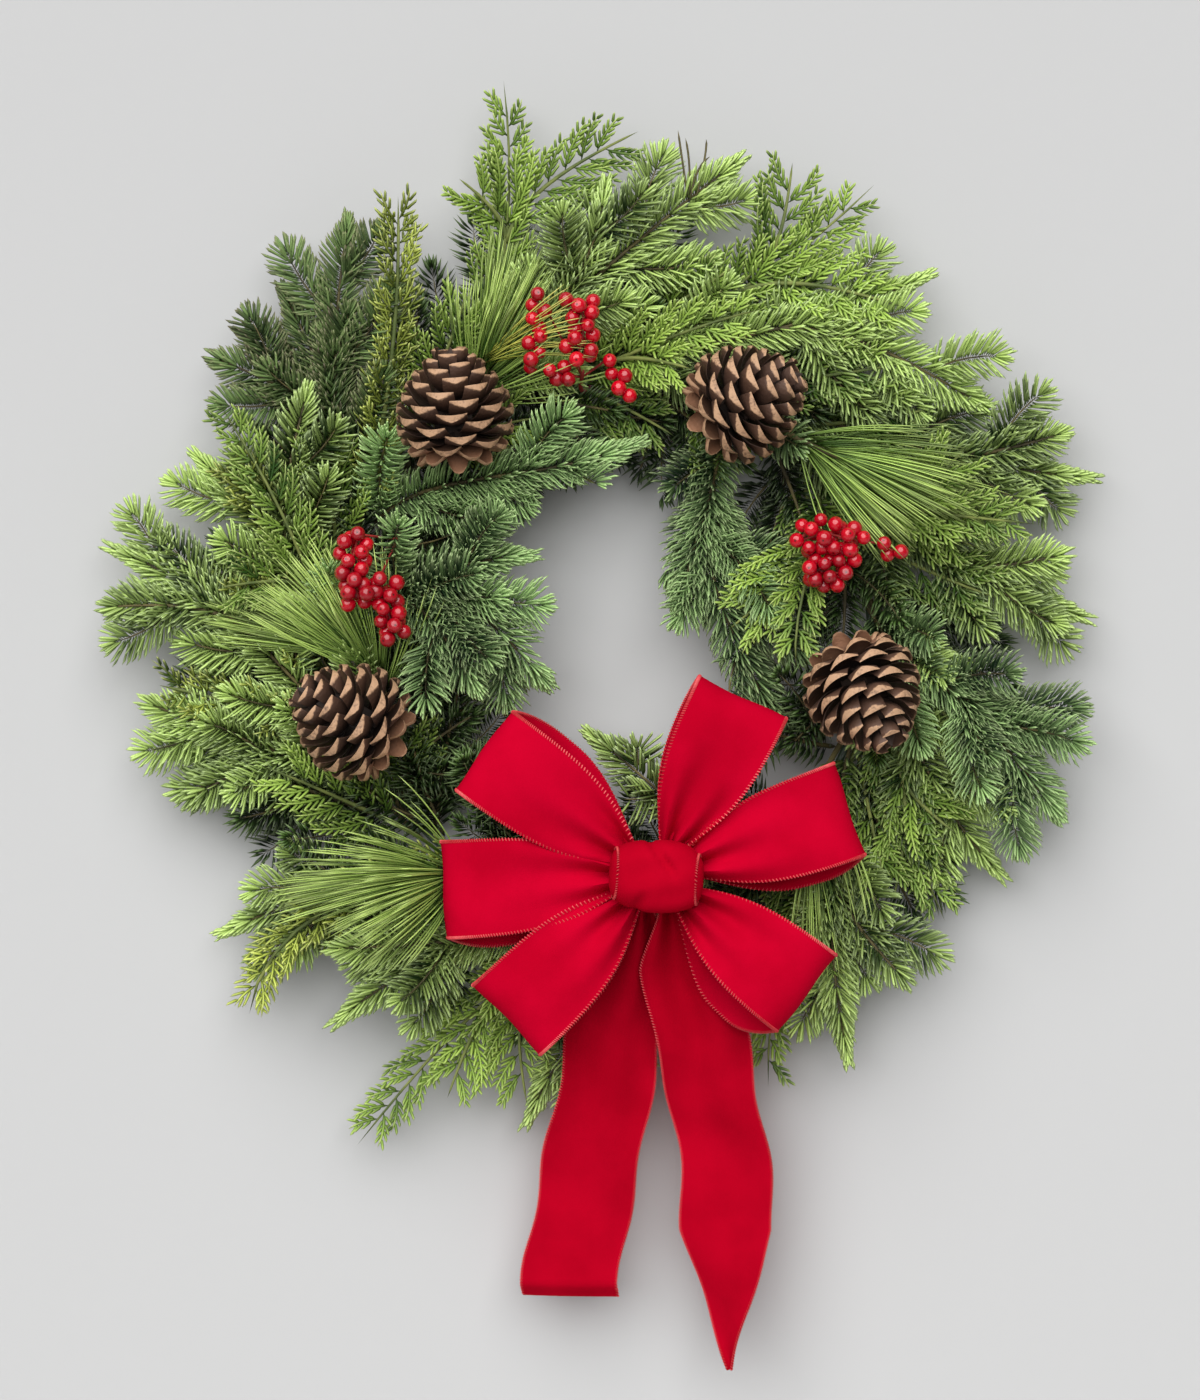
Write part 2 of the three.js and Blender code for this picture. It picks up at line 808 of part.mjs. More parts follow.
function coneSolid() {
  const tube = bareNet(new THREE.CylinderGeometry(1, 1, 1, CONE_SECTORS, CONE_ROWS));
  const places = tube.attributes.position;
  const sector = (2 * Math.PI) / CONE_SECTORS;
  const spots = [];
  const positions = [];
  for (let i = 0; i < places.count; i++) {
    const share = places.getY(i) + 0.5;
    const row = Math.round(share * CONE_ROWS);
    const isAxis = Math.hypot(places.getX(i), places.getZ(i)) < 0.5;
    const turn = Math.atan2(places.getX(i), places.getZ(i)) + (row * sector) / 2;
    const radius = isAxis ? 0 : 0.52 * CONE_RADIUS * coneProfile(share);
    spots.push({ row, turn, isAxis });
    positions.push(
      radius * Math.sin(turn),
      CONE_LENGTH * (0.86 * share - 0.48),
      radius * Math.cos(turn),
    );
  }
  const indices = [];
  const faces = tube.index.array;
  for (let f = 0; f < faces.length; f += 3) {
    const ids = [faces[f], faces[f + 1], faces[f + 2]];
    const low = Math.min(...ids.map((id) => spots[id].row));
    const upper = ids.filter((id) => spots[id].row > low);
    if (upper.length !== 1 || ids.some((id) => spots[id].isAxis)) {
      indices.push(...ids);
      continue;
    }
    const top = upper[0];
    const left = ids[(ids.indexOf(top) + 1) % 3];
    const right = ids[(ids.indexOf(top) + 2) % 3];
    const share = (low + 1.1) / CONE_ROWS;
    const reach = CONE_RADIUS * coneProfile(Math.min(1, share));
    const height = CONE_LENGTH * (0.86 * share - 0.44 + 0.03 * share);
    const first = positions.length / 3;
    let gap = spots[right].turn - spots[left].turn;
    gap -= 2 * Math.PI * Math.round(gap / (2 * Math.PI));
    for (const part of [0.2, 0.8]) {
      const turn = spots[left].turn + gap * part;
      positions.push(reach * Math.sin(turn), height, reach * Math.cos(turn));
    }
    indices.push(left, right, first + 1, left, first + 1, first);
    indices.push(right, top, first + 1, top, left, first, top, first, first + 1);
  }
  return solidFrom(positions, indices);
}

// Cones by their centres, the directions of their tips, and where their wires hook over the ring
const CONES = [
  { name: "cone_upper_left", at: [-98, -82, 148], tip: [-0.06, -0.25, 1], hook: 147 },
  { name: "cone_upper_right", at: [94, -84, 152], tip: [0.9, -0.25, 0.42], hook: 87 },
  { name: "cone_lower_left", at: [-168, -80, -54], tip: [-0.85, -0.3, 0.5], hook: 205 },
  { name: "cone_lower_right", at: [170, -84, -42], tip: [0.42, -0.45, -0.85], hook: 354 },
];

function coneMesh({ name, at, tip }, solid) {
  const mesh = namedMesh(name, solid, FINISHES.cone);
  const axis = point(...tip).normalize();
  mesh.position.set(...at);
  mesh.quaternion.setFromUnitVectors(point(0, 1, 0), axis);
  const half = CONE_LENGTH / 2 - CONE_RADIUS;
  const centre = point(...at);
  room.add(
    centre.clone().addScaledVector(axis, -half),
    centre.clone().addScaledVector(axis, half + 12),
    CONE_RADIUS,
    name,
  );
  return mesh;
}

// A floral wire hooks over the ring and runs forwards to what it holds, where it ends at its seat
function floralWire(angle, target, held, name) {
  const hold = WIRE_RADIUS + FLORAL_WIRE_RADIUS + 0.4;
  const hook = [200, 160, 120, 90, 50].map((turn) =>
    ringPoint(angle, hold * Math.cos(radians(turn)), hold * Math.sin(radians(turn))),
  );
  const last = hook[hook.length - 1].clone().addScaledVector(FRONT, 7);
  for (let share = 1; share > 0.3; share -= 0.004) {
    const end = last.clone().lerp(target, share);
    const curve = new THREE.CatmullRomCurve3([...hook, last, last.clone().lerp(end, 0.5), end]);
    const wire = rodSquare(curve, FLORAL_WIRE_RADIUS, 13, tangentAt(angle));
    if (wire.minGap(held, 1) < 0.3) continue;
    fillRoom(curve, FLORAL_WIRE_RADIUS, 16, name);
    return wire;
  }
  throw new Error(`${name} finds no seat`);
}

function rodSquare(curve, radius, steps, across) {
  const tube = bareNet(new THREE.CylinderGeometry(1, 1, 1, 3, steps));
  const places = tube.attributes.position;
  const positions = [];
  for (let i = 0; i < places.count; i++) {
    const share = places.getY(i) + 0.5;
    const along = curve.getTangent(share);
    const flat = across.clone().addScaledVector(along, -across.dot(along)).normalize();
    const lift = flat.clone().cross(along);
    const at = curve.getPoint(share);
    at.addScaledVector(flat, places.getX(i) * radius);
    at.addScaledVector(lift, places.getZ(i) * radius);
    positions.push(at.x, at.y, at.z);
  }
  return solidFrom(positions, tube.index.array);
}

// Berry sprays: berries on short stalks round a stem that comes from the ring
const BERRY_COUNT = 10;
const BERRIES = [
  {
    name: "berries_top",
    angle: 93,
    across: [1, 0, 0],
    stem: [
      [-12, -14, 162],
      [-16, -44, 162],
      [-14, -76, 172],
      [-12, -90, 190],
      [-14, -90, 222],
    ],
  },
  {
    name: "berries_left",
    angle: 152,
    across: [-1, 0, 0],
    stem: [
      [-140, -8, 66],
      [-134, -40, 62],
      [-138, -76, 62],
      [-150, -90, 46],
      [-154, -90, 2],
    ],
  },
  {
    name: "berries_right",
    angle: 30,
    across: [0, 0, 1],
    stem: [
      [140, -10, 78],
      [134, -44, 68],
      [128, -76, 62],
      [136, -92, 58],
      [176, -88, 52],
    ],
  },
];
const BERRY_STEM_RADIUS = 1.7;
const BERRY_SEAT = 3.85;
const STALK_RADIUS = 0.9;
const GOLDEN_ANGLE = 137.5;

function berrySpray({ name, angle, across, stem }) {
  const points = [
    ringPoint(angle, -BERRY_SEAT),
    ...stem.map((place) => point(...place)),
  ];
  const curve = new THREE.CatmullRomCurve3(points);
  let whole = rodSquare(curve, BERRY_STEM_RADIUS, 12, point(...across));
  fillRoom(curve, BERRY_STEM_RADIUS + 0.2, 14, name);
  for (let i = 0; i < BERRY_COUNT; i++) {
    const share = 0.62 + (0.36 * i) / (BERRY_COUNT - 1);
    const along = curve.getTangent(share);
    const flat = FRONT.clone().addScaledVector(along, -FRONT.dot(along)).normalize();
    const out = flat.clone().applyAxisAngle(along, radians(GOLDEN_ANGLE * i));
    const reach = 9 + 9 * chance(angle, i);
    const start = curve.getPoint(share).addScaledVector(out, -0.4);
    const centre = start.clone().addScaledVector(out, reach).addScaledVector(along, 4);
    const berry = new THREE.IcosahedronGeometry(BERRY_RADIUS, 0);
    berry.translate(centre.x, centre.y, centre.z);
    const stalk = new THREE.LineCurve3(start, centre);
    whole = whole.add(rodSquare(stalk, STALK_RADIUS, 1, along)).add(solidOf(berry));
    room.add(centre, centre, BERRY_RADIUS + 0.4, name);
    room.add(start, centre, STALK_RADIUS + 0.2, name);
  }
  return whole;
}

// The bow. A ribbon is a thin box whose points are moved to a surface of two shares: along the
// ribbon and across it.
// The knot's core is the tight band behind it, from which all loops and tails spring.
const BOW_HOOK = 266;
const BOW_DEPTH = -81;
const LOOP_ROOT = 17;
const KNOT = {
  at: point(33, -100, -157),
  wide: 30,
  deep: 17,
  high: 23,
  core: LOOP_ROOT - 0.4,
  coreDepth: 33,
};
const LOOP_SWELL = 17;

function ribbonSolid(surface, steps) {
  const box = bareNet(new THREE.BoxGeometry(1, 1, 1, steps, 1, 1));
  const places = box.attributes.position;
  const positions = [];
  const nudge = 1e-3;
  for (let i = 0; i < places.count; i++) {
    const along = places.getX(i) + 0.5;
    const across = places.getY(i);
    const at = surface(along, across);
    const ahead = surface(along + nudge, across).sub(surface(along - nudge, across));
    const aside = surface(along, across + nudge).sub(surface(along, across - nudge));
    at.addScaledVector(ahead.cross(aside).normalize(), places.getZ(i) * RIBBON_THICKNESS);
    positions.push(at.x, at.y, at.z);
  }
  return solidFrom(positions, box.index.array);
}

function fillRibbon(surface, name, steps) {
  for (let i = 0; i < steps; i++)
    for (let j = 0; j < 8; j++) {
      const spot = surface((i + 0.5) / steps, (j + 0.5) / 8 - 0.5);
      room.add(spot, spot, 6, name);
    }
}

function loopSurface({ angle, reach, twist = 0 }) {
  const out = outwardAt(angle);
  const aside = point(-out.z, 0, out.x);
  return (along, across) => {
    const stretch = Math.sin(Math.PI * along);
    const distance = LOOP_ROOT + (reach - LOOP_ROOT) * stretch;
    const width = Math.min(RIBBON_WIDTH, 0.64 * distance);
    const swell = LOOP_SWELL * Math.sin(2 * Math.PI * along) + 1.7 * (1 - 2 * along);
    const at = point(KNOT.at.x, BOW_DEPTH, KNOT.at.z);
    at.addScaledVector(out, distance).addScaledVector(aside, across * width);
    return at.addScaledVector(FRONT, swell + twist * across * stretch + 10 * stretch);
  };
}

const LOOPS = [
  { name: "bow_loop_upper_left", angle: 144, reach: 138 },
  { name: "bow_loop_upper_right", angle: 64, reach: 128 },
  { name: "bow_loop_right", angle: 19, reach: 132 },
  { name: "bow_loop_lower_right", angle: -38, reach: 124 },
  { name: "bow_loop_left", angle: 184, reach: 138 },
  { name: "bow_loop_lower_left", angle: 224, reach: 134 },
];

// A tail hangs along a curve. Its width grows from the knot, and its edge turns by a twist.
function tailSurface({ points, twist, width }) {
  const curve = new THREE.CatmullRomCurve3(points.map((place) => point(...place)));
  return (along, across) => {
    const share = Math.min(1, Math.max(0, along));
    const at = curve.getPoint(share);
    const turn = radians(twist(share));
    const aside = point(-Math.cos(turn), -Math.sin(turn), 0);
    return at.addScaledVector(aside, across * width(share));
  };
}

const TAILS = [
  {
    name: "bow_tail_left",
    points: [
      [23, -72, -173.6],
      [19, -57, -198],
      [8, -53, -249],
      [-4, -50, -321],
      [-19, -46, -399],
      [-23, -45, -436],
    ],
    twist: (share) => 10 * Math.sin(5 * share),
    width: (share) => Math.min(RIBBON_WIDTH, 11 + 105 * share),
  },
  {
    name: "bow_tail_right",
    points: [
      [42, -75, -173.6],
      [48, -65, -194],
      [60, -60, -253],
      [70, -54, -297],
      [80, -50, -367],
      [80, -48, -430],
      [82, -48, -484],
    ],
    twist: (share) => -6 - 30 * share * share,
    width: (share) => Math.min(60, 11 + 200 * share, 2 + 250 * (1 - share)),
  },
];

function knotSolid() {
  const ball = new THREE.SphereGeometry(1, 12, 8);
  const places = ball.attributes.position;
  for (let i = 0; i < places.count; i++) {
    const [x, y, z] = [places.getX(i), places.getY(i), places.getZ(i)];
    const fold = 1 + 0.06 * Math.sin(5 * x + 2) * Math.cos(4 * z);
    places.setXYZ(i, KNOT.wide * x * fold, KNOT.deep * y * fold, KNOT.high * z * fold);
  }
  ball.translate(...KNOT.at.toArray());
  const core = new THREE.CylinderGeometry(KNOT.core, KNOT.core, KNOT.coreDepth, 16);
  core.translate(KNOT.at.x, KNOT.at.y + KNOT.coreDepth / 2, KNOT.at.z);
  return solidOf(ball).add(solidOf(core));
}

// The whole wreath hangs by the top of its ring wire, at the origin
const wreath = new THREE.Group();
wreath.position.set(0, 0, -(RING_RADIUS - WIRE_RADIUS));

wreath.add(namedMesh("wreath_ring", clampRing(), FINISHES.ring));

for (const loop of LOOPS) {
  const surface = loopSurface(loop);
  wreath.add(namedMesh(loop.name, ribbonSolid(surface, 14), FINISHES.velvet));
  fillRibbon(surface, loop.name, 26);
}
for (const tail of TAILS) {
  const surface = tailSurface(tail);
  wreath.add(namedMesh(tail.name, ribbonSolid(surface, 12), FINISHES.velvet));
  fillRibbon(surface, tail.name, 30);
}
const knot = knotSolid();
wreath.add(namedMesh("bow_knot", knot, FINISHES.velvet));
room.add(KNOT.at.clone().setX(25), KNOT.at.clone().setX(41), 23, "bow_knot");

const coneShape = coneSolid();
for (const cone of CONES) {
  const mesh = coneMesh(cone, coneShape);
  wreath.add(mesh);
  mesh.updateMatrix();
  const placed = coneShape.transform(mesh.matrix.elements);
  const name = `${cone.name}_wire`;
  wreath.add(namedMesh(name, floralWire(cone.hook, mesh.position, placed, name), FINISHES.wire));
}
wreath.add(
  namedMesh("bow_wire", floralWire(BOW_HOOK, KNOT.at, knot, "bow_wire"), FINISHES.wire),
);
for (const berries of BERRIES) {
  wreath.add(namedMesh(berries.name, berrySpray(berries), FINISHES.berry));
}

for (const spray of SPRAYS) spray.growMain();
for (const spray of SPRAYS) spray.growShoots();
for (const spray of SPRAYS) {
  wreath.add(namedMesh(spray.name, spray.solid(), spray.style.finish));
}

const part = new THREE.Group();
part.add(wreath);
export default part;
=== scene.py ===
"""Fresh evergreen wreath: fir, cedar, pine and juniper in a clamp ring, with cones, berries and a bow.

Lengths are millimetres from the middle of the clamp ring, with x to the right, y towards the wall
and z up, as in the part's source. Skin.build moves them to the shared frame, in metres.
"""

import logging
from dataclasses import dataclass, field
from enum import Enum
from typing import ClassVar

import bpy
import numpy as np
from mathutils import Matrix


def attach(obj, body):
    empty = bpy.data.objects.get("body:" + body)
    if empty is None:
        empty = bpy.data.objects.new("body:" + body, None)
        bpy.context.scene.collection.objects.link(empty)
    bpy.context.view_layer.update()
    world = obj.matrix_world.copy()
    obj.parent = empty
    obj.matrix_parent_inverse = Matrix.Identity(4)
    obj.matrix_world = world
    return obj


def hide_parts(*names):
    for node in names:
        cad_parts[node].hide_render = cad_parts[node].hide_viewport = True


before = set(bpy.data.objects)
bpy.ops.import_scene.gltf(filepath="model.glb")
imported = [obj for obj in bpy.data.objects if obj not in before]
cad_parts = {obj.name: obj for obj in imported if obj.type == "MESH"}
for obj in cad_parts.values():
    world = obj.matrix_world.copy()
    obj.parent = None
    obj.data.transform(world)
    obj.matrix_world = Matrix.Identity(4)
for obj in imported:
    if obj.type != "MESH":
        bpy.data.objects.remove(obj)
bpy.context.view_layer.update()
log = logging.getLogger("wreath")

MM = 0.001
RING_RADIUS = 178.0
WIRE_RADIUS = 2.4
RING_DROP = RING_RADIUS - WIRE_RADIUS
CLAMPS = tuple(15.0 + 30.0 * place for place in range(12))
BUTT_ANGLE = 7.0
RELEASE_ANGLE = 4.0
BARE_LENGTH = 26.0
GOLDEN_ANGLE = np.radians(137.5)
SHARP_EDGE = np.radians(50.0)
FRONT = np.array([0.0, -1.0, 0.0])
UP = np.array([0.0, 0.0, 1.0])
MAIN_STEPS = 13
SHOOT_STEPS = 6
RIBBON_WIDTH = 63.5
BOW_CENTRE = np.array([33.0, -81.0, -157.0])
BOW_REACH = 141.0
CONE_LENGTH = 92.0
CONE_RADIUS = 39.0

Colour = tuple[float, float, float, float]
Place = tuple[float, float, float]
Socket = bpy.types.NodeSocket


def paint(red: int, green: int, blue: int) -> Colour:
    """Linear colour with a full alpha, from the 0 to 255 steps of a paint chart."""
    steps = np.array([red, green, blue]) / 255.0
    linear = np.where(steps <= 0.04045, steps / 12.92, ((steps + 0.055) / 1.055) ** 2.4)
    return (*linear.tolist(), 1.0)


def unit(vectors: np.ndarray) -> np.ndarray:
    """Vectors divided by their lengths."""
    return vectors / np.maximum(np.linalg.norm(vectors, axis=-1, keepdims=True), 1e-9)


def square_to(along: np.ndarray, normal: np.ndarray) -> np.ndarray:
    """The part of a normal that is square to a direction, at unit length."""
    return unit(normal - (normal * along).sum(-1, keepdims=True) * along)


def turned(first: np.ndarray, second: np.ndarray, angle: np.ndarray) -> np.ndarray:
    """Directions at an angle from first ones towards second ones."""
    return first * np.cos(angle)[..., None] + second * np.sin(angle)[..., None]


def smooth_step(low: float, high: float, values: np.ndarray) -> np.ndarray:
    """Zero below low, one above high, and 3t^2 - 2t^3 between them."""
    share = np.clip((values - low) / (high - low), 0.0, 1.0)
    return share * share * (3.0 - 2.0 * share)


def rng_of(name: str, extra: int = 0) -> np.random.Generator:
    """Repeatable random numbers, from the letters of a name and an extra number."""
    letters = sum((place + 1) * ord(letter) for place, letter in enumerate(name))
    return np.random.default_rng(letters + extra)


def outward_at(angle: float) -> np.ndarray:
    """Unit vector from the ring's middle at an angle in degrees."""
    return np.array([np.cos(np.radians(angle)), 0.0, np.sin(np.radians(angle))])


def tangent_at(angle: float) -> np.ndarray:
    """Unit vector along the ring, clockwise as the front sees it."""
    return np.array([np.sin(np.radians(angle)), 0.0, -np.cos(np.radians(angle))])


def ring_point(angle: float, outward: float = 0.0, forward: float = 0.0) -> np.ndarray:
    """A point by the ring wire: outwards from its centre line, and forwards of it."""
    return outward_at(angle) * (RING_RADIUS + outward) + FRONT * forward


def bezier(corners: list[np.ndarray], count: int) -> np.ndarray:
    """Points of a Bezier curve.

    Formula: the sum over corners of choose(n, i) (1 - t)^(n - i) t^i corner i.

    Args:
        corners: The curve's control points.
        count: How many points to give.

    Returns:
        An array of count points.
    """
    share = np.linspace(0.0, 1.0, count)[:, None]
    degree = len(corners) - 1
    total = np.zeros((count, 3))
    choose = 1.0
    for place, corner in enumerate(corners):
        total += choose * (1.0 - share) ** (degree - place) * share**place * corner
        choose = choose * (degree - place) / (place + 1)
    return total


def bent(
    start: np.ndarray, middle: np.ndarray, tip: np.ndarray, stations: np.ndarray
) -> np.ndarray:
    """Quadratic curves: (1 - t)^2 start + 2 t (1 - t) middle + t^2 tip at each station t."""
    part = stations[None, :, None]
    near = (1 - part) ** 2 * start[:, None] + 2 * part * (1 - part) * middle[:, None]
    return near + part**2 * tip[:, None]


def path_length(points: np.ndarray) -> float:
    """The length of a row of points."""
    return float(np.linalg.norm(np.diff(points, axis=0), axis=1).sum())


def resample(points: np.ndarray, count: int) -> np.ndarray:
    """The same path with its points an equal distance apart."""
    steps = np.linalg.norm(np.diff(points, axis=0), axis=1)
    places = np.concatenate([[0.0], np.cumsum(steps)])
    wanted = np.linspace(0.0, places[-1], count)
    return np.stack([np.interp(wanted, places, points[:, axis]) for axis in range(3)], axis=1)


def smooth_path(corners: tuple[Place, ...], count: int) -> np.ndarray:
    """A rounded path through corners.

    Formula: a Catmull-Rom spline, which between corners b and c is
    (2b + (c - a) t + (2a - 5b + 4c - d) t^2 + (3b - a - 3c + d) t^3) / 2.

    Args:
        corners: Points that the path runs through.
        count: How many points to give.

    Returns:
        An array of count points, an equal distance apart.
    """
    knots = np.array(corners, dtype=float)
    ends = np.vstack([2 * knots[0] - knots[1], knots, 2 * knots[-1] - knots[-2]])
    spot = np.linspace(0.0, len(knots) - 1.0, 12 * len(knots))
    low = np.minimum(spot.astype(int), len(knots) - 2)
    share = (spot - low)[:, None]
    a, b, c, d = ends[low], ends[low + 1], ends[low + 2], ends[low + 3]
    square = (2 * a - 5 * b + 4 * c - d) * share**2
    cube = (3 * b - a - 3 * c + d) * share**3
    return resample((2 * b + (c - a) * share + square + cube) / 2.0, count)


def places_on(
    paths: np.ndarray, which: np.ndarray, share: np.ndarray
) -> tuple[np.ndarray, np.ndarray]:
    """Places on several paths, in straight stretches between their points.

    Args:
        paths: Points of the paths, path by path.
        which: The path of each place.
        share: Where each place lies on its path, from 0 to 1.

    Returns:
        The places, and the unit directions of their paths there.
    """
    stretches = paths.shape[1] - 1
    spot = np.clip(share, 0.0, 1.0) * stretches
    low = np.minimum(spot.astype(int), stretches - 1)
    start = paths[which, low]
    run = paths[which, low + 1] - start
    return start + run * (spot - low)[:, None], unit(run)


class Section(Enum):
    """Cross-sections of slivers, in halves of their width: to the side, and up."""

    NEEDLE = ((-1.0, -0.2), (1.0, -0.2), (0.0, 0.45))
    LEAFLET = ((-1.0, 0.0), (0.0, -0.4), (1.0, 0.0), (0.0, 0.4))
    THREAD = ((-0.87, -0.5), (0.87, -0.5), (0.0, 1.0))
    TWIG = ((1.0, 0.0), (0.31, 0.95), (-0.81, 0.59), (-0.81, -0.59), (0.31, -0.95))


@dataclass
class Skin:
    """Points and faces of one piece, gathered part by part, with the piece's random numbers.

    A face's last number is its material slot. A point's marks are its tone, its share along its
    leaf, and its millimetres along it.
    """

    rng: np.random.Generator
    points: list[np.ndarray] = field(default_factory=list)
    quads: list[np.ndarray] = field(default_factory=list)
    triangles: list[np.ndarray] = field(default_factory=list)
    marks: list[np.ndarray] = field(default_factory=list)
    size: int = 0

    def add(
        self,
        points: np.ndarray,
        quads: np.ndarray,
        triangles: np.ndarray,
        marks: np.ndarray,
        slot: int = 0,
    ) -> None:
        """Adds one part.

        Args:
            points: Points in millimetres.
            quads: Faces of four points.
            triangles: Faces of three points.
            marks: Three numbers a point.
            slot: The material slot of its faces.
        """
        for kept, faces, corners in ((self.quads, quads, 4), (self.triangles, triangles, 3)):
            faces = faces.reshape(-1, corners) + self.size
            kept.append(np.column_stack([faces, np.full(len(faces), slot)]))
        self.points.append(points.reshape(-1, 3))
        self.marks.append(marks.reshape(-1, 3))
        self.size += len(self.points[-1])

    def add_closed(
        self,
        rings: np.ndarray,
        ends: tuple[np.ndarray, np.ndarray],
        marks: np.ndarray,
        slot: int = 0,
        flip: bool = False,
    ) -> None:
        """Adds closed forms, each a row of rings between two end points.

        Args:
            rings: Points, form by form, ring by ring and round each ring.
            ends: The first point and the last point of each form.
            marks: The marks of each form's first point, of its rings and of its last point.
            slot: The material slot of the faces.
            flip: Whether the rings run the other way round.
        """
        count, rows, sides = rings.shape[:3]
        ids = np.arange(sides)
        beside = (ids + 1) % sides
        low = 1 + sides * np.arange(rows - 1)[:, None]
        quads = np.stack([low + ids, low + beside, low + sides + beside, low + sides + ids], -1)
        top, last = 1 + sides * (rows - 1), 1 + sides * rows
        fans = [[0 * ids, 1 + beside, 1 + ids], [top + ids, top + beside, 0 * ids + last]]
        triangles = np.array(fans).transpose(0, 2, 1).reshape(-1, 3)
        quads = quads.reshape(-1, 4)
        if flip:
            quads, triangles = quads[:, [0, 3, 2, 1]], triangles[:, [0, 2, 1]]
        shift = ((last + 1) * np.arange(count))[:, None, None]
        first, final = ends
        points = [first[:, None], rings.reshape(count, -1, 3), final[:, None]]
        row_of = np.concatenate([[0], np.repeat(np.arange(1, rows + 1), sides), [rows + 1]])
        self.add(
            np.concatenate(points, axis=1), quads + shift, triangles + shift, marks[:, row_of], slot
        )

    def add_slivers(
        self,
        paths: np.ndarray,
        widths: float | np.ndarray,
        normals: np.ndarray,
        section: Section,
        tones: float | np.ndarray,
        slot: int = 0,
    ) -> None:
        """Adds closed slivers, such as needles, leaflets and twigs.

        Formula: at each inner point of a path stands the section, as point + side x width / 2
        + up y width / 2, and the path's first and last points close it.

        Args:
            paths: Points of each sliver's middle line, sliver by sliver.
            widths: Width at each point of each path, or of all.
            normals: The way up of each sliver, or of all.
            section: Shape across it.
            tones: A number from 0 to 1 for each sliver's colour, or for all.
            slot: The material slot of its faces.
        """
        count, steps = paths.shape[:2]
        if not count:
            return
        corners = np.array(section.value)
        along = unit(np.gradient(paths, axis=1))[:, 1:-1]
        across = unit(np.cross(normals.reshape(-1, 1, 3), along))[:, :, None]
        up = np.cross(along, across[:, :, 0])[:, :, None]
        half = 0.5 * np.broadcast_to(widths, (count, steps))[:, 1:-1, None, None]
        rings = paths[:, 1:-1, None] + half * (across * corners[:, :1] + up * corners[:, 1:])
        marks = np.zeros(paths.shape)
        marks[..., 0] = np.reshape(tones, (-1, 1))
        marks[..., 1] = np.arange(steps) / (steps - 1)
        marks[:, 1:, 2] = np.cumsum(np.linalg.norm(np.diff(paths, axis=1), axis=2), axis=1)
        self.add_closed(rings, (paths[:, 0], paths[:, -1]), marks, slot)

    def add_shells(
        self,
        upper: np.ndarray,
        lower: np.ndarray,
        tones: float | np.ndarray,
        shares: np.ndarray,
        length: float,
    ) -> None:
        """Adds closed shells, each between two grids of points.

        Args:
            upper: Points above, shell by shell, row by row and column by column.
            lower: Points below, in the same order.
            tones: A number from 0 to 1 for each shell's colour.
            shares: The share along the shell at each row.
            length: Millimetres along the shell.
        """
        count, rows, columns = upper.shape[:3]
        front, back = np.arange(2 * rows * columns).reshape(2, rows, columns)
        faces = [
            (front[:-1, :-1], front[1:, :-1], front[1:, 1:], front[:-1, 1:]),
            (back[:-1, :-1], back[:-1, 1:], back[1:, 1:], back[1:, :-1]),
            (front[:-1, 0], back[:-1, 0], back[1:, 0], front[1:, 0]),
            (front[:-1, -1], front[1:, -1], back[1:, -1], back[:-1, -1]),
            (front[0, :-1], front[0, 1:], back[0, 1:], back[0, :-1]),
            (front[-1, :-1], back[-1, :-1], back[-1, 1:], front[-1, 1:]),
        ]
        quads = np.concatenate([np.stack(face, -1).reshape(-1, 4) for face in faces])
        shift = (2 * rows * columns * np.arange(count))[:, None, None]
        marks = np.empty((count, 2, rows, columns, 3))
        marks[..., 0] = np.reshape(tones, (-1, 1, 1, 1))
        marks[..., 1] = shares[:, None]
        marks[..., 2] = length * shares[:, None]
        self.add(np.stack([upper, lower], axis=1), quads + shift, np.empty((0, 3), int), marks)

    def build(
        self, name: str, finishes: list[str], slot: str, node: str = "", sharp: bool = False
    ) -> bpy.types.Object:
        """Makes the piece's object at the origin, with its place in its mesh.

        Args:
            name: The object's name.
            finishes: The names of the finishes in its material slots.
            slot: The colour slot that it belongs to; not used.
            node: The solid that it stands for, if there is one.
            sharp: Whether edges of SHARP_EDGE and more stay sharp.

        Returns:
            The new object, riding on the wreath's one body.
        """
        points = (np.concatenate(self.points) - np.array([0.0, 0.0, RING_DROP])) * MM
        quads = np.concatenate(self.quads)
        triangles = np.concatenate(self.triangles)
        corners = np.concatenate([quads[:, :4].ravel(), triangles[:, :3].ravel()])
        totals = np.repeat([4, 3], [len(quads), len(triangles)]).astype(np.int32)
        starts = np.concatenate([[0], np.cumsum(totals)[:-1]]).astype(np.int32)
        slots = np.concatenate([quads[:, 4], triangles[:, 3]]).astype(np.int32)
        mesh = bpy.data.meshes.new(name)
        mesh.vertices.add(len(points))
        mesh.vertices.foreach_set("co", points.ravel().astype(np.float32))
        mesh.loops.add(len(corners))
        mesh.loops.foreach_set("vertex_index", corners.astype(np.int32))
        mesh.polygons.add(len(totals))
        mesh.polygons.foreach_set("loop_start", starts)
        mesh.polygons.foreach_set("loop_total", totals)
        mesh.update(calc_edges=True)
        mesh.polygons.foreach_set("material_index", slots)
        mesh.polygons.foreach_set("use_smooth", np.ones(len(totals), dtype=bool))
        if sharp:
            mesh.set_sharp_from_angle(angle=SHARP_EDGE)
        marks = mesh.attributes.new("marks", "FLOAT_VECTOR", "POINT")
        marks.data.foreach_set("vector", np.concatenate(self.marks).ravel().astype(np.float32))
        for finish in finishes:
            mesh.materials.append(bpy.data.materials[finish])
        piece = bpy.data.objects.new(name, mesh)
        bpy.context.scene.collection.objects.link(piece)
        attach(piece, "root")
        if node:
            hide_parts(node)
        log.info("%s: %d triangles", name, 2 * len(quads) + len(triangles))
        return piece


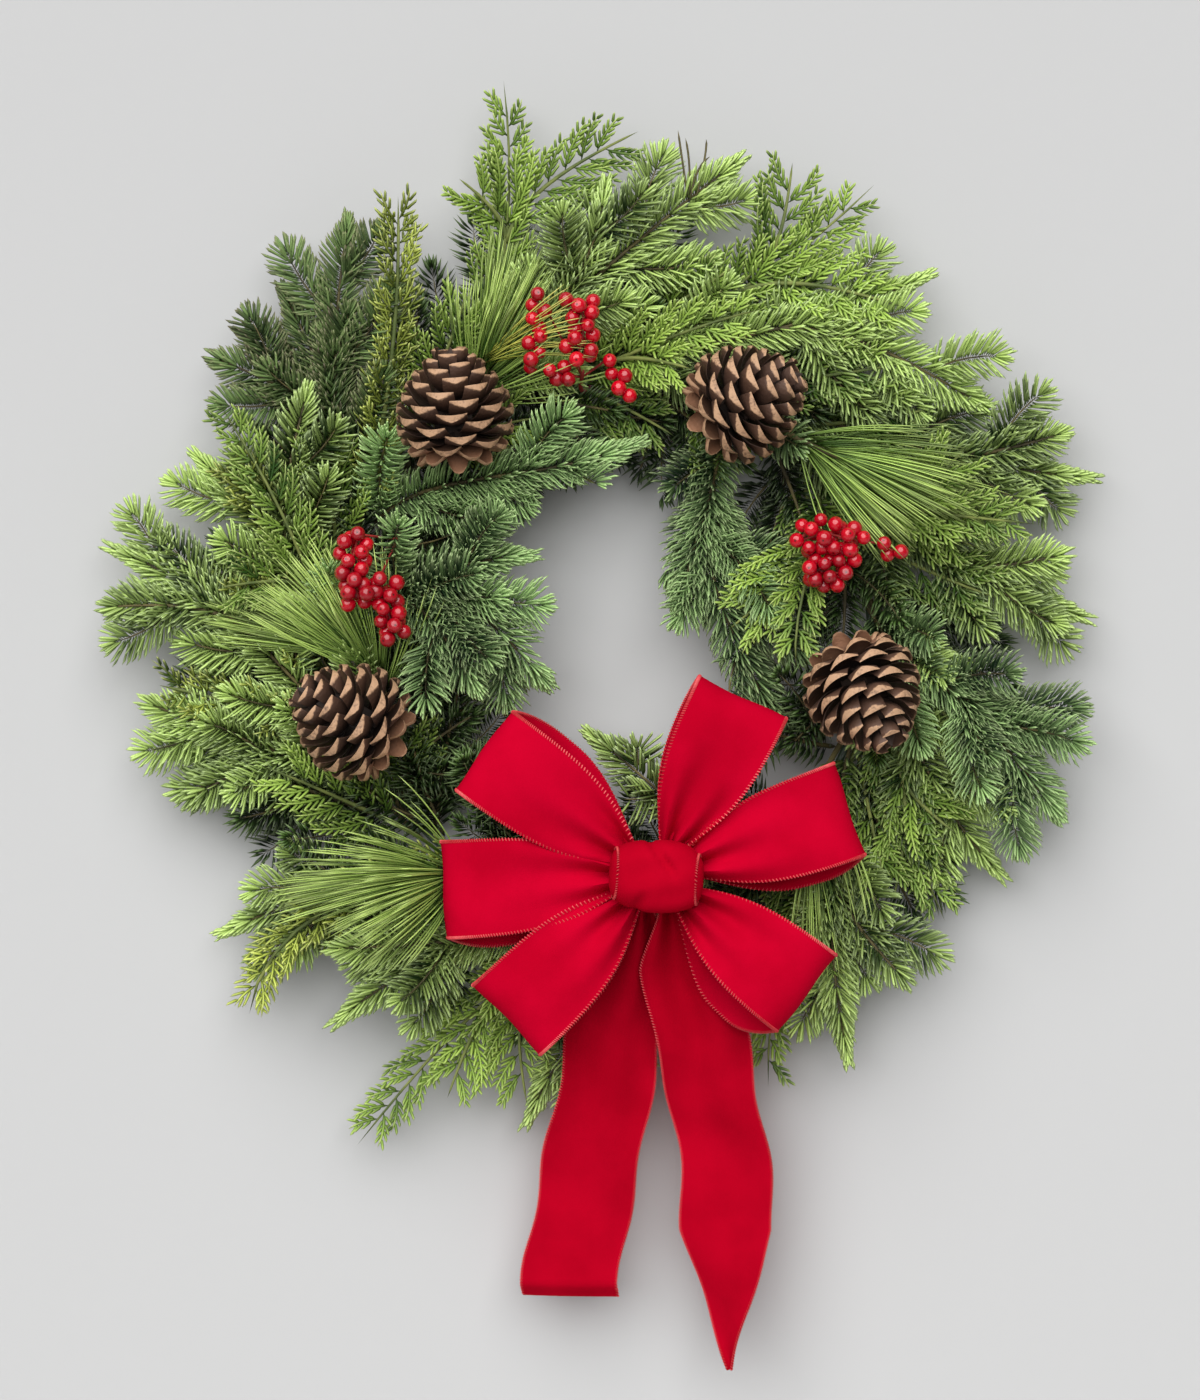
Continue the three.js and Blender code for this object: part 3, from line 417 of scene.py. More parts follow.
class Bench:
    """A node tree at work: adds nodes, sets their values and joins their sockets."""

    def __init__(self, tree: bpy.types.NodeTree) -> None:
        """Clears the tree and keeps it."""
        self.tree = tree
        self.tree.nodes.clear()

    def add(self, kind: str, inputs: dict | None = None, **settings: object) -> bpy.types.Node:
        """Adds one node.

        Args:
            kind: The node's type.
            inputs: Values or sockets for its inputs, by name or number.
            settings: The node's own settings.

        Returns:
            The new node.
        """
        node = self.tree.nodes.new(kind)
        for name, value in settings.items():
            setattr(node, name, value)
        for name, value in (inputs or {}).items():
            if isinstance(value, Socket):
                self.tree.links.new(value, node.inputs[name])
            else:
                node.inputs[name].default_value = value
        return node

    def group(self, name: str, inputs: dict[str, object]) -> list[Socket]:
        """The outputs of a shared shader group, placed with its own values."""
        tree = bpy.data.node_groups[name]
        return list(self.add("ShaderNodeGroup", inputs, node_tree=tree).outputs)

    def mix(self, factor: object, first: object, second: object) -> Socket:
        """The colour between two colours, at a factor."""
        node = self.add("ShaderNodeMix", {0: factor, 6: first, 7: second}, data_type="RGBA")
        return node.outputs[2]

    def math(self, operation: str, first: object, second: object = 0.0) -> Socket:
        """One step of arithmetic, held between no bounds."""
        return self.add("ShaderNodeMath", {0: first, 1: second}, operation=operation).outputs[0]

    def scaled(self, value: object, times: float, plus: object) -> Socket:
        """A value times a number, plus another."""
        return self.math("ADD", self.math("MULTIPLY", value, times), plus)

    def spread(self, value: object, low: float, high: float) -> Socket:
        """A value moved so that low gives 0 and high gives 1, held between them."""
        inputs = {0: value, 1: low, 2: high, 3: 0.0, 4: 1.0}
        return self.add("ShaderNodeMapRange", inputs).outputs[0]

    def place(self) -> Socket:
        """The piece's own coordinates."""
        return self.add("ShaderNodeTexCoord").outputs["Object"]

    def noise(self, scale: object, detail: float = 3.0) -> Socket:
        """Cloudy noise from 0 to 1 on the piece's own coordinates."""
        inputs = {"Vector": self.place(), "Scale": scale, "Detail": detail}
        return self.add("ShaderNodeTexNoise", inputs).outputs[0]

    def bump(self, height: Socket, strength: float, distance: float) -> Socket:
        """The normal that a height gives, at a strength and over a distance in metres."""
        inputs = {"Height": height, "Strength": strength, "Distance": distance}
        return self.add("ShaderNodeBump", inputs).outputs[0]

    def relief(self, scale: float, strength: float, distance: float) -> list[Socket]:
        """The height, the mask and the normal of the fine grain."""
        height, mask = self.group("fine_grain", {"Scale": scale})
        return [height, mask, self.bump(height, strength, distance)]

    def marks(self) -> list[Socket]:
        """The three numbers that a point carries: tone, share and millimetres."""
        attribute = self.add("ShaderNodeAttribute", attribute_name="marks")
        return list(self.add("ShaderNodeSeparateXYZ", {0: attribute.outputs["Vector"]}).outputs)


def new_group(name: str, inputs: dict[str, str], outputs: dict[str, str]) -> Bench:
    """Makes an empty shader group, with the kinds of its sockets by their names.

    Args:
        name: The group's name.
        inputs: Its inputs.
        outputs: Its outputs.

    Returns:
        The group at work.
    """
    group = bpy.data.node_groups.new(name, "ShaderNodeTree")
    for way, sockets in (("INPUT", inputs), ("OUTPUT", outputs)):
        for label, kind in sockets.items():
            group.interface.new_socket(label, in_out=way, socket_type=f"NodeSocket{kind}")
    return Bench(group)


def build_leaf_tint() -> None:
    """The shared colour of foliage: by tone and patch, with pale tips, and painted shade at the needles'
    bases and deep in the band near the wall.
    """
    inputs = {"Deep": "Color", "Bright": "Color", "Tip": "Color", "Tip share": "Float"}
    bench = new_group("leaf_tint", inputs, {"Color": "Color", "Roughness": "Float"})
    given = bench.add("NodeGroupInput").outputs
    tone, share, _ = bench.marks()
    patch = bench.spread(bench.noise(14.0), 0.35, 0.68)
    blend = bench.spread(bench.scaled(patch, 0.34, tone), 0.2, 1.04)
    body = bench.mix(blend, given["Deep"], given["Bright"])
    ending = bench.math("MULTIPLY", bench.spread(share, 0.5, 1.0), given["Tip share"])
    tipped = bench.mix(ending, body, given["Tip"])
    # Painted shade: needles and leaflets darken towards their bases on the stem.
    foot = bench.math("MULTIPLY", bench.spread(share, 0.5, 0.0), 0.8)
    base_shaded = bench.mix(foot, tipped, given["Deep"])
    # Painted shade: foliage deep in the band, near the wall, darkens to the deep colour.
    right, depth, height = bench.add("ShaderNodeSeparateXYZ", {0: bench.place()}).outputs
    height = bench.math("ADD", height, RING_DROP * MM)
    flat = bench.add("ShaderNodeCombineXYZ", {0: right, 2: height}).outputs[0]
    radius = bench.add("ShaderNodeVectorMath", {0: flat}, operation="LENGTH").outputs[1]
    band = bench.math("MULTIPLY", bench.spread(radius, 0.285, 0.235), 0.8)
    within = bench.math("MULTIPLY", bench.spread(depth, -0.044, -0.008), band)
    shaded = bench.mix(within, base_shaded, given["Deep"])
    rough = bench.scaled(bench.noise(300.0), 0.24, 0.34)
    bench.add("NodeGroupOutput", {"Color": shaded, "Roughness": rough})


def build_fine_grain() -> None:
    """The shared fine grain of bark, cones, enamel and pile: a height and a mask."""
    bench = new_group("fine_grain", {"Scale": "Float"}, {"Height": "Float", "Mask": "Float"})
    scale = bench.add("NodeGroupInput").outputs["Scale"]
    fine = bench.noise(scale, 4.0)
    coarse = bench.noise(bench.math("MULTIPLY", scale, 0.12), 3.0)
    height = bench.scaled(fine, 0.6, bench.math("MULTIPLY", coarse, 0.4))
    bench.add("NodeGroupOutput", {"Height": height, "Mask": bench.spread(coarse, 0.38, 0.66)})


@dataclass(frozen=True)
class Finish:
    """A material with one shader, which each kind of finish gives its own inputs."""

    name: str

    def inputs(self, bench: Bench) -> dict[str, object]:
        """The Principled shader's values and sockets, by the names of its inputs."""
        raise NotImplementedError

    def shader(self, bench: Bench) -> Socket:
        """The material's shader."""
        return bench.add("ShaderNodeBsdfPrincipled", self.inputs(bench)).outputs[0]

    def build(self) -> None:
        """Makes the material."""
        material = bpy.data.materials.new(self.name)
        material.use_nodes = True
        bench = Bench(material.node_tree)
        bench.add("ShaderNodeOutputMaterial", {0: self.shader(bench)})


@dataclass(frozen=True)
class LeafFinish(Finish):
    """A living leaf: its shaded, lit and tip colours, and the length of its scale leaves."""

    deep: Colour
    bright: Colour
    tip: Colour
    tip_share: float
    scale_leaf: float = 0.0

    def inputs(self, bench: Bench) -> dict[str, object]:
        """The shared tint, over steps of the scale leaves or over a fine noise.

        Args:
            bench: The material's node tree at work.

        Returns:
            The shader's values and sockets, by the names of its inputs.
        """
        colours = {"Deep": self.deep, "Bright": self.bright, "Tip": self.tip}
        colour, rough = bench.group("leaf_tint", colours | {"Tip share": self.tip_share})
        if self.scale_leaf:
            height = bench.math("FRACT", bench.math("DIVIDE", bench.marks()[2], self.scale_leaf))
        else:
            height = bench.noise(900.0, 2.0)
        return {
            "Base Color": colour,
            "Roughness": rough,
            "Specular IOR Level": 0.35,
            "Normal": bench.bump(height, 0.55, 0.0006),
        }


@dataclass(frozen=True)
class BarkFinish(Finish):
    """Young bark: two browns in streaks under a fine grain."""

    dark: Colour
    light: Colour
    grain: float = 420.0

    def inputs(self, bench: Bench) -> dict[str, object]:
        """The two browns by the grain's mask.

        Args:
            bench: The material's node tree at work.

        Returns:
            The shader's values and sockets, by the names of its inputs.
        """
        height, mask, normal = bench.relief(self.grain, 0.7, 0.0008)
        colour = bench.mix(mask, self.dark, self.light)
        return {"Base Color": colour, "Roughness": bench.scaled(height, 0.3, 0.6), "Normal": normal}


@dataclass(frozen=True)
class ConeFinish(Finish):
    """A cone's scales: painted shade towards their roots by the core, brown along the scale, and tan at the
    thick end.
    """

    root_shade: Colour = paint(30, 18, 13)
    body: Colour = paint(68, 44, 31)
    foot: Colour = paint(142, 101, 75)
    end: Colour = paint(176, 138, 106)

    def inputs(self, bench: Bench) -> dict[str, object]:
        """Colours along the scale, which the tone turns to those of the cone's foot.

        Args:
            bench: The material's node tree at work.

        Returns:
            The shader's values and sockets, by the names of its inputs.
        """
        tone, share, _ = bench.marks()
        height, _, normal = bench.relief(520.0, 0.8, 0.001)
        streak = bench.math("MULTIPLY", bench.math("SUBTRACT", height, 0.5), 0.2)
        place = bench.math("ADD", share, streak)
        # Painted shade: each scale darkens towards its root, between the scales by the core.
        near = bench.mix(bench.spread(place, 0.2, 0.95), self.root_shade, self.body)
        round_scale = bench.mix(bench.spread(place, 0.2, 0.7), self.root_shade, self.foot)
        body = bench.mix(tone, near, round_scale)
        colour = bench.mix(bench.spread(place, 0.955, 1.0), body, self.end)
        return {"Base Color": colour, "Roughness": bench.scaled(height, 0.25, 0.52), "Normal": normal}


@dataclass(frozen=True)
class BerryFinish(Finish):
    """A glossy berry: crimson with darker patches, and a brown tip where the flower was."""

    flesh: Colour = paint(198, 2, 30)
    shade: Colour = paint(128, 0, 16)
    scar: Colour = paint(52, 18, 12)

    def inputs(self, bench: Bench) -> dict[str, object]:
        """Two reds by tone and patch, and the scar at the far end.

        Args:
            bench: The material's node tree at work.

        Returns:
            The shader's values and sockets, by the names of its inputs.
        """
        tone, share, _ = bench.marks()
        _, mask, normal = bench.relief(260.0, 0.12, 0.0006)
        blend = bench.math("MULTIPLY", bench.math("ADD", tone, mask), 0.5)
        skin = bench.mix(blend, self.flesh, self.shade)
        return {
            "Base Color": bench.mix(bench.spread(share, 0.93, 0.985), skin, self.scar),
            "Roughness": bench.scaled(mask, 0.14, 0.16),
            "Specular IOR Level": 0.5,
            "Coat Weight": 0.3,
            "Coat Roughness": 0.12,
            "Normal": normal,
        }


@dataclass(frozen=True)
class VelvetFinish(Finish):
    """Velvet ribbon: crimson pile that is crushed in soft patches and shines at a slant."""

    pile: Colour = paint(180, 0, 36)
    crushed: Colour = paint(155, 0, 26)
    sheen: Colour = paint(255, 0, 60)

    def inputs(self, bench: Bench) -> dict[str, object]:
        """The pile by soft patches and its nap, under a faint sheen.

        Args:
            bench: The material's node tree at work.

        Returns:
            The shader's values and sockets, by the names of its inputs.
        """
        height, _, normal = bench.relief(1500.0, 0.35, 0.0004)
        patch = bench.spread(bench.noise(22.0, 4.0), 0.36, 0.66)
        blend = bench.scaled(patch, 0.6, bench.math("MULTIPLY", height, 0.35))
        return {
            "Base Color": bench.mix(blend, self.pile, self.crushed),
            "Roughness": bench.scaled(patch, 0.12, 0.8),
            "Specular IOR Level": 0.02,
            "Sheen Weight": 0.07,
            "Sheen Roughness": 0.4,
            "Sheen Tint": self.sheen,
            "Normal": normal,
        }


@dataclass(frozen=True)
class ThreadFinish(Finish):
    """The overlocked edge: coral thread with each turn a little lighter or darker."""

    thread: Colour = paint(212, 74, 74)
    shade: Colour = paint(178, 22, 42)

    def inputs(self, bench: Bench) -> dict[str, object]:
        """Two corals by the stitch and by its twist.

        Args:
            bench: The material's node tree at work.

        Returns:
            The shader's values and sockets, by the names of its inputs.
        """
        tone, share, run = bench.marks()
        twist = bench.math("FRACT", bench.math("MULTIPLY", run, 1.6))
        blend = bench.scaled(tone, 0.5, bench.math("MULTIPLY", twist, 0.3))
        return {
            "Base Color": bench.mix(blend, self.thread, self.shade),
            "Roughness": bench.scaled(share, 0.1, 0.5),
            "Normal": bench.bump(twist, 0.5, 0.0003),
        }


@dataclass(frozen=True)
class EnamelFinish(Finish):
    """Green enamelled steel wire, with bare steel showing where it is worn."""

    enamel: Colour = paint(60, 82, 58)
    steel: Colour = paint(120, 120, 112)

    def inputs(self, bench: Bench) -> dict[str, object]:
        """Enamel, and steel on the grain's heights.

        Args:
            bench: The material's node tree at work.

        Returns:
            The shader's values and sockets, by the names of its inputs.
        """
        height, _, normal = bench.relief(350.0, 0.3, 0.0004)
        wear = bench.spread(height, 0.56, 0.62)
        return {
            "Base Color": bench.mix(wear, self.enamel, self.steel),
            "Metallic": bench.math("MULTIPLY", wear, 0.9),
            "Roughness": bench.scaled(height, 0.3, 0.28),
            "Normal": normal,
        }


@dataclass(frozen=True)
class PlasterFinish(Finish):
    """The studio's plain painted wall and floor, clear from behind and to light on its way."""

    colour: Colour

    def shader(self, bench: Bench) -> Socket:
        """Matt paint, mixed with a clear shader for back faces and shadow rays.

        Args:
            bench: The material's node tree at work.

        Returns:
            The mixed shader.
        """
        normal = bench.relief(60.0, 0.05, 0.001)[2]
        matt = bench.add("ShaderNodeBsdfDiffuse", {"Color": self.colour, "Normal": normal})
        clear = bench.add("ShaderNodeBsdfTransparent")
        behind = bench.add("ShaderNodeNewGeometry").outputs["Backfacing"]
        shadow = bench.add("ShaderNodeLightPath").outputs["Is Shadow Ray"]
        see_through = bench.math("MAXIMUM", behind, shadow)
        inputs = {0: see_through, 1: matt.outputs[0], 2: clear.outputs[0]}
        return bench.add("ShaderNodeMixShader", inputs).outputs[0]


PALE_TIP = paint(204, 224, 160)
FINISHES = (
    LeafFinish("fir_silver", paint(22, 46, 22), paint(166, 202, 128), PALE_TIP, 0.6),
    LeafFinish("fir_green", paint(28, 50, 16), paint(190, 218, 120), PALE_TIP, 0.6),
    LeafFinish("fir_dusky", paint(24, 42, 20), paint(130, 158, 94), paint(126, 108, 88), 0.7),
    LeafFinish("fir_shaded", paint(14, 28, 10), paint(72, 100, 44), PALE_TIP, 0.22),
    LeafFinish("cedar_green", paint(36, 66, 16), paint(166, 198, 86), paint(214, 230, 142), 0.6, 1.9),
    LeafFinish("juniper_gold", paint(60, 80, 20), paint(204, 218, 100), paint(228, 234, 150), 0.6, 1.6),
    LeafFinish("pine_green", paint(42, 78, 20), paint(186, 216, 110), paint(208, 220, 140), 0.4),
    LeafFinish("pine_golden", paint(112, 120, 36), paint(210, 208, 102), paint(230, 226, 146), 0.4),
    BarkFinish("twig_bark", paint(60, 54, 30), paint(104, 94, 54)),
    BarkFinish("green_bark", paint(72, 86, 36), paint(124, 132, 66)),
    BarkFinish("cone_core", paint(30, 20, 15), paint(58, 40, 30), 240.0),
    BarkFinish("berry_stalk", paint(112, 22, 24), paint(168, 46, 40)),
    ConeFinish("cone_scales"),
    BerryFinish("berry_skin"),
    VelvetFinish("velvet_pile"),
    # A darker copy of the velvet: painted shade on the hanging tails and the knot.
    VelvetFinish("velvet_tail", paint(166, 0, 28), paint(142, 0, 21)),
    ThreadFinish("edge_thread"),
    EnamelFinish("ring_enamel"),
    EnamelFinish("wire_enamel", paint(48, 66, 44)),
    PlasterFinish("wall_paint", paint(178, 178, 178)),
    PlasterFinish("floor_paint", paint(178, 178, 177)),
)


@dataclass
class Rod:
    """A rounded rod of space that foliage leaves free."""

    start: Place
    end: Place
    radius: float


@dataclass
class Shoots:
    """Stems of one order: their paths, and where their leaves begin."""

    paths: np.ndarray
    bare: np.ndarray
    tones: np.ndarray

    def lengths(self) -> np.ndarray:
        """The length of each stem."""
        return np.linalg.norm(np.diff(self.paths, axis=1), axis=2).sum(axis=1)


@dataclass
class KeepOut:
    """The spaces that foliage leaves free: cones, berries, the bow, the hole and the wall.

    The hole's left side is a row of bays between the tips of three boughs at the lobes' heights,
    and it widens to the lower right.
    """

    rods: list[Rod]
    hole_low: tuple[float, float] = (-26.0, -57.0)
    hole_high: tuple[float, float] = (34.0, 93.0)
    hole_widening: float = 36.0
    lobes: tuple[float, ...] = (50.0, 19.0, -33.0)
    lobe_depth: float = 13.0
    lobe_width: float = 12.0
    bow_front: float = -60.0
    tails_left: float = -62.0
    tails_right: float = 120.0
    tails_top: float = -175.0
    tail_front: float = -38.0
    wall: float = 0.8

    def clear(self, points: np.ndarray) -> np.ndarray:
        """Tells which points are in free space.

        Args:
            points: Points to test.

        Returns:
            True for each point that no rod, box or disc holds.
        """
        starts = np.array([rod.start for rod in self.rods])
        runs = np.array([rod.end for rod in self.rods]) - starts
        radii = np.array([rod.radius for rod in self.rods])
        gaps = points[:, None, :] - starts[None]
        share = (gaps * runs).sum(-1) / np.maximum((runs * runs).sum(-1), 1e-9)
        nearest = gaps - np.clip(share, 0.0, 1.0)[..., None] * runs
        held = (np.linalg.norm(nearest, axis=-1) < radii).any(axis=1)
        x, y, z = points.T
        from_knot = np.hypot(x - BOW_CENTRE[0], z - BOW_CENTRE[2])
        held |= (from_knot < BOW_REACH) & (y < self.bow_front)
        beside = (x > self.tails_left) & (x < self.tails_right)
        held |= beside & (z < self.tails_top) & (y < self.tail_front)
        lobe = np.exp(-(((z[:, None] - np.array(self.lobes)) / self.lobe_width) ** 2)).max(axis=1)
        left = self.hole_low[0] - self.lobe_depth * (1.0 - lobe)
        right = self.hole_high[0] + self.hole_widening * smooth_step(-10.0, -22.0, z)
        level = (z > self.hole_low[1]) & (z < self.hole_high[1])
        held |= (x > left) & (x < right) & level
        return ~held & (y < self.wall)

    def trim(
        self, shoots: Shoots, beyond: float, least: float = 0.34, drop: bool = True
    ) -> Shoots:
        """Shoots cut short where they would enter a space that stays free.

        Args:
            shoots: The shoots.
            beyond: How far the leaves of a shoot's tip reach ahead of it.
            least: The least share of a shoot that may be left.
            drop: Whether shoots that would be shorter are left out, or keep that least share.

        Returns:
            The shoots that are left.
        """
        count, steps = shoots.paths.shape[:2]
        if not count:
            return shoots
        ahead = shoots.paths + beyond * unit(np.gradient(shoots.paths, axis=1))
        blocked = ~self.clear(ahead.reshape(-1, 3)).reshape(count, steps)
        blocked[:, 0] = False
        first = np.where(blocked.any(axis=1), blocked.argmax(axis=1), steps)
        share = (first - 1.0) / (steps - 1.0)
        kept = share >= least if drop else np.ones(count, dtype=bool)
        share = np.clip(share, least, 1.0)
        wanted = share[:, None] * np.linspace(0.0, 1.0, steps)
        which = np.repeat(np.arange(count), steps)
        paths = places_on(shoots.paths, which, wanted.ravel())[0].reshape(count, steps, 3)
        return Shoots(paths[kept], (shoots.bare / share)[kept], shoots.tones[kept])


@dataclass(frozen=True)
class Branching:
    """Side shoots: their distance apart, their reach near the parent's foot and their angle to it.

    Taper is the share of the reach that is lost by the parent's tip. Lean is the most that a shoot
    leans to the front or back, and vary the most that its tone differs from its parent's.
    """

    every: float
    reach: float
    angle: float
    taper: float
    lean: float
    vary: float = 0.28

    def grow(self, parents: Shoots, rng: np.random.Generator) -> Shoots:
        """Shoots that stand alternately on both sides of their parents.

        Formula: a quadratic Bezier curve from the parent to along cos a + side sin a + front lean,
        with its middle turned 12 degrees further out; its reach falls by taper along the parent.

        Args:
            parents: The stems that carry them.
            rng: The piece's own random numbers.

        Returns:
            The new shoots.
        """
        lengths = parents.lengths()
        leafy = (1.0 - parents.bare) * lengths - 0.25 * self.reach
        counts = np.maximum(leafy / self.every, 0).astype(int)
        which = np.repeat(np.arange(len(lengths)), counts)
        total = len(which)
        order = np.arange(total) - (np.cumsum(counts) - counts)[which]
        first = parents.bare * lengths + 0.4 * self.every
        loose = rng.uniform(-0.2, 0.2, total) * self.every
        share = (first[which] + order * self.every + loose) / lengths[which]
        at, along = places_on(parents.paths, which, share)
        front = square_to(along, FRONT)
        side = np.cross(along, front) * np.where((order + which) % 2, 1.0, -1.0)[:, None]
        span = self.reach * (1.0 - self.taper * share) * rng.uniform(0.78, 1.12, total)
        leans = front * (rng.uniform(-self.lean, self.lean, total)[:, None] + 0.08)
        turn = np.radians(self.angle + rng.uniform(-6.0, 6.0, total))
        middle = unit(turned(along, side, turn + np.radians(12.0)) + leans)
        tip = unit(turned(along, side, turn + np.radians(-4.0)) + leans)
        stations = np.linspace(0.0, 1.0, SHOOT_STEPS)
        span = span[:, None]
        paths = bent(at, at + middle * 0.5 * span, at + tip * span, stations)
        tones = parents.tones[which] + rng.uniform(-self.vary, self.vary, total)
        return Shoots(paths, np.full(total, 0.06), np.clip(tones, 0.0, 1.0))


@dataclass(frozen=True)
class NeedleStyle:
    """Needles round a shoot: how long, wide and dense they are, and how they stand."""

    length: float
    width: float
    density: float
    tilt: float
    comb: float
    rank: float
    sweep: float
    curl: float
    stations: tuple[float, ...] = (0.0, 0.2, 0.84, 1.0)

    def grow(self, skin: Skin, shoots: Shoots, room: KeepOut) -> None:
        """Covers shoots with needles.

        Formula: a needle leaves its shoot at tilt degrees, turned round it from the front by comb
        degrees times w^rank, where w runs evenly from 0 to 1 on each side. Its path is a quadratic
        curve whose middle is curl degrees further out, and its tip is raised to the front by sweep.

        Args:
            skin: The piece that takes the needles.
            shoots: The shoots that carry them.
            room: The spaces that stay free.
        """
        rng = skin.rng
        lengths = shoots.lengths()
        counts = np.maximum(lengths * (1.0 - shoots.bare) * self.density, 0).astype(int)
        which = np.repeat(np.arange(len(lengths)), counts)
        total = len(which)
        if not total:
            return
        order = np.arange(total) - (np.cumsum(counts) - counts)[which]
        share = (order + rng.uniform(0.2, 0.8, total)) / counts[which]
        share = shoots.bare[which] + share * (1.0 - shoots.bare[which])
        at, along = places_on(shoots.paths, which, share)
        front = square_to(along, FRONT)
        sides = np.where(order % 2, 1.0, -1.0)
        round_share = (order // 2 * 0.618 % 1.0) ** self.rank
        turn = np.radians(self.comb) * sides * (round_share + rng.uniform(-0.05, 0.05, total))
        out = turned(front, np.cross(along, front), turn)
        ending = smooth_step(0.78, 1.0, share)
        tilt = np.radians(self.tilt + rng.uniform(-4.0, 4.0, total)) * (1.0 - 0.72 * ending)
        span = self.length * rng.uniform(0.88, 1.08, total) * (1.0 - 0.42 * ending)
        span = (span * (0.7 + 0.3 * smooth_step(0.0, 0.15, share)))[:, None]
        middle = at + turned(along, out, tilt + np.radians(self.curl)) * 0.5 * span
        tip = at + unit(turned(along, out, tilt) + front * self.sweep) * span
        free = room.clear(middle) & room.clear(tip)
        at, middle, tip, out = at[free], middle[free], tip[free], out[free]
        paths = bent(at, middle, tip, np.array(self.stations))
        widths = self.width * rng.uniform(0.85, 1.15, len(paths))[:, None]
        young = 0.34 * smooth_step(0.72, 1.0, share[free]) - 0.06
        tones = shoots.tones[which][free] + young + rng.uniform(-0.24, 0.24, len(paths))
        normals = square_to(unit(tip - at), FRONT + 0.7 * along[free] + 0.3 * out)
        skin.add_slivers(paths, widths, normals, Section.NEEDLE, np.clip(tones, 0.0, 1.0))


class Kind(Enum):
    """The greens that the wreath is made of."""

    NOBLE = "noble"
    FIR = "fir"
    DUSKY = "dusky"
    CEDAR = "cedar"
    JUNIPER = "juniper"
    PINE = "pine"


class Seat(Enum):
    """Where a stem lies on the ring wire: its distance, and degrees from outwards to the front."""

    OUTER = (5.5, 30.0)
    FRONT = (3.9, 90.0)
    INNER = (5.5, 150.0)


NOBLE_NEEDLES = NeedleStyle(
    length=22.0, width=1.7, density=2.3, tilt=54.0, comb=118.0, rank=0.8, sweep=0.26, curl=22.0
)
FIR_NEEDLES = NeedleStyle(
    length=21.5, width=1.9, density=1.6, tilt=52.0, comb=100.0, rank=0.5, sweep=0.1, curl=13.0
)
FAR_NEEDLES = NeedleStyle(
    length=21.0,
    width=2.3,
    density=1.0,
    tilt=54.0,
    comb=96.0,
    rank=0.5,
    sweep=0.1,
    curl=10.0,
    stations=(0.0, 0.5, 1.0),
)
FIR_SHOOTS = Branching(every=27.0, reach=76.0, angle=42.0, taper=0.52, lean=0.28)
CEDAR_FRONDS = Branching(every=6.4, reach=60.0, angle=37.0, taper=0.68, lean=0.16, vary=0.16)
CEDAR_LEAFLETS = Branching(every=2.5, reach=12.0, angle=31.0, taper=0.45, lean=0.12, vary=0.12)
JUNIPER_ROPES = Branching(every=4.2, reach=44.0, angle=32.0, taper=0.45, lean=0.9, vary=0.2)
JUNIPER_CORDS = Branching(every=3.2, reach=14.0, angle=30.0, taper=0.45, lean=0.8, vary=0.1)


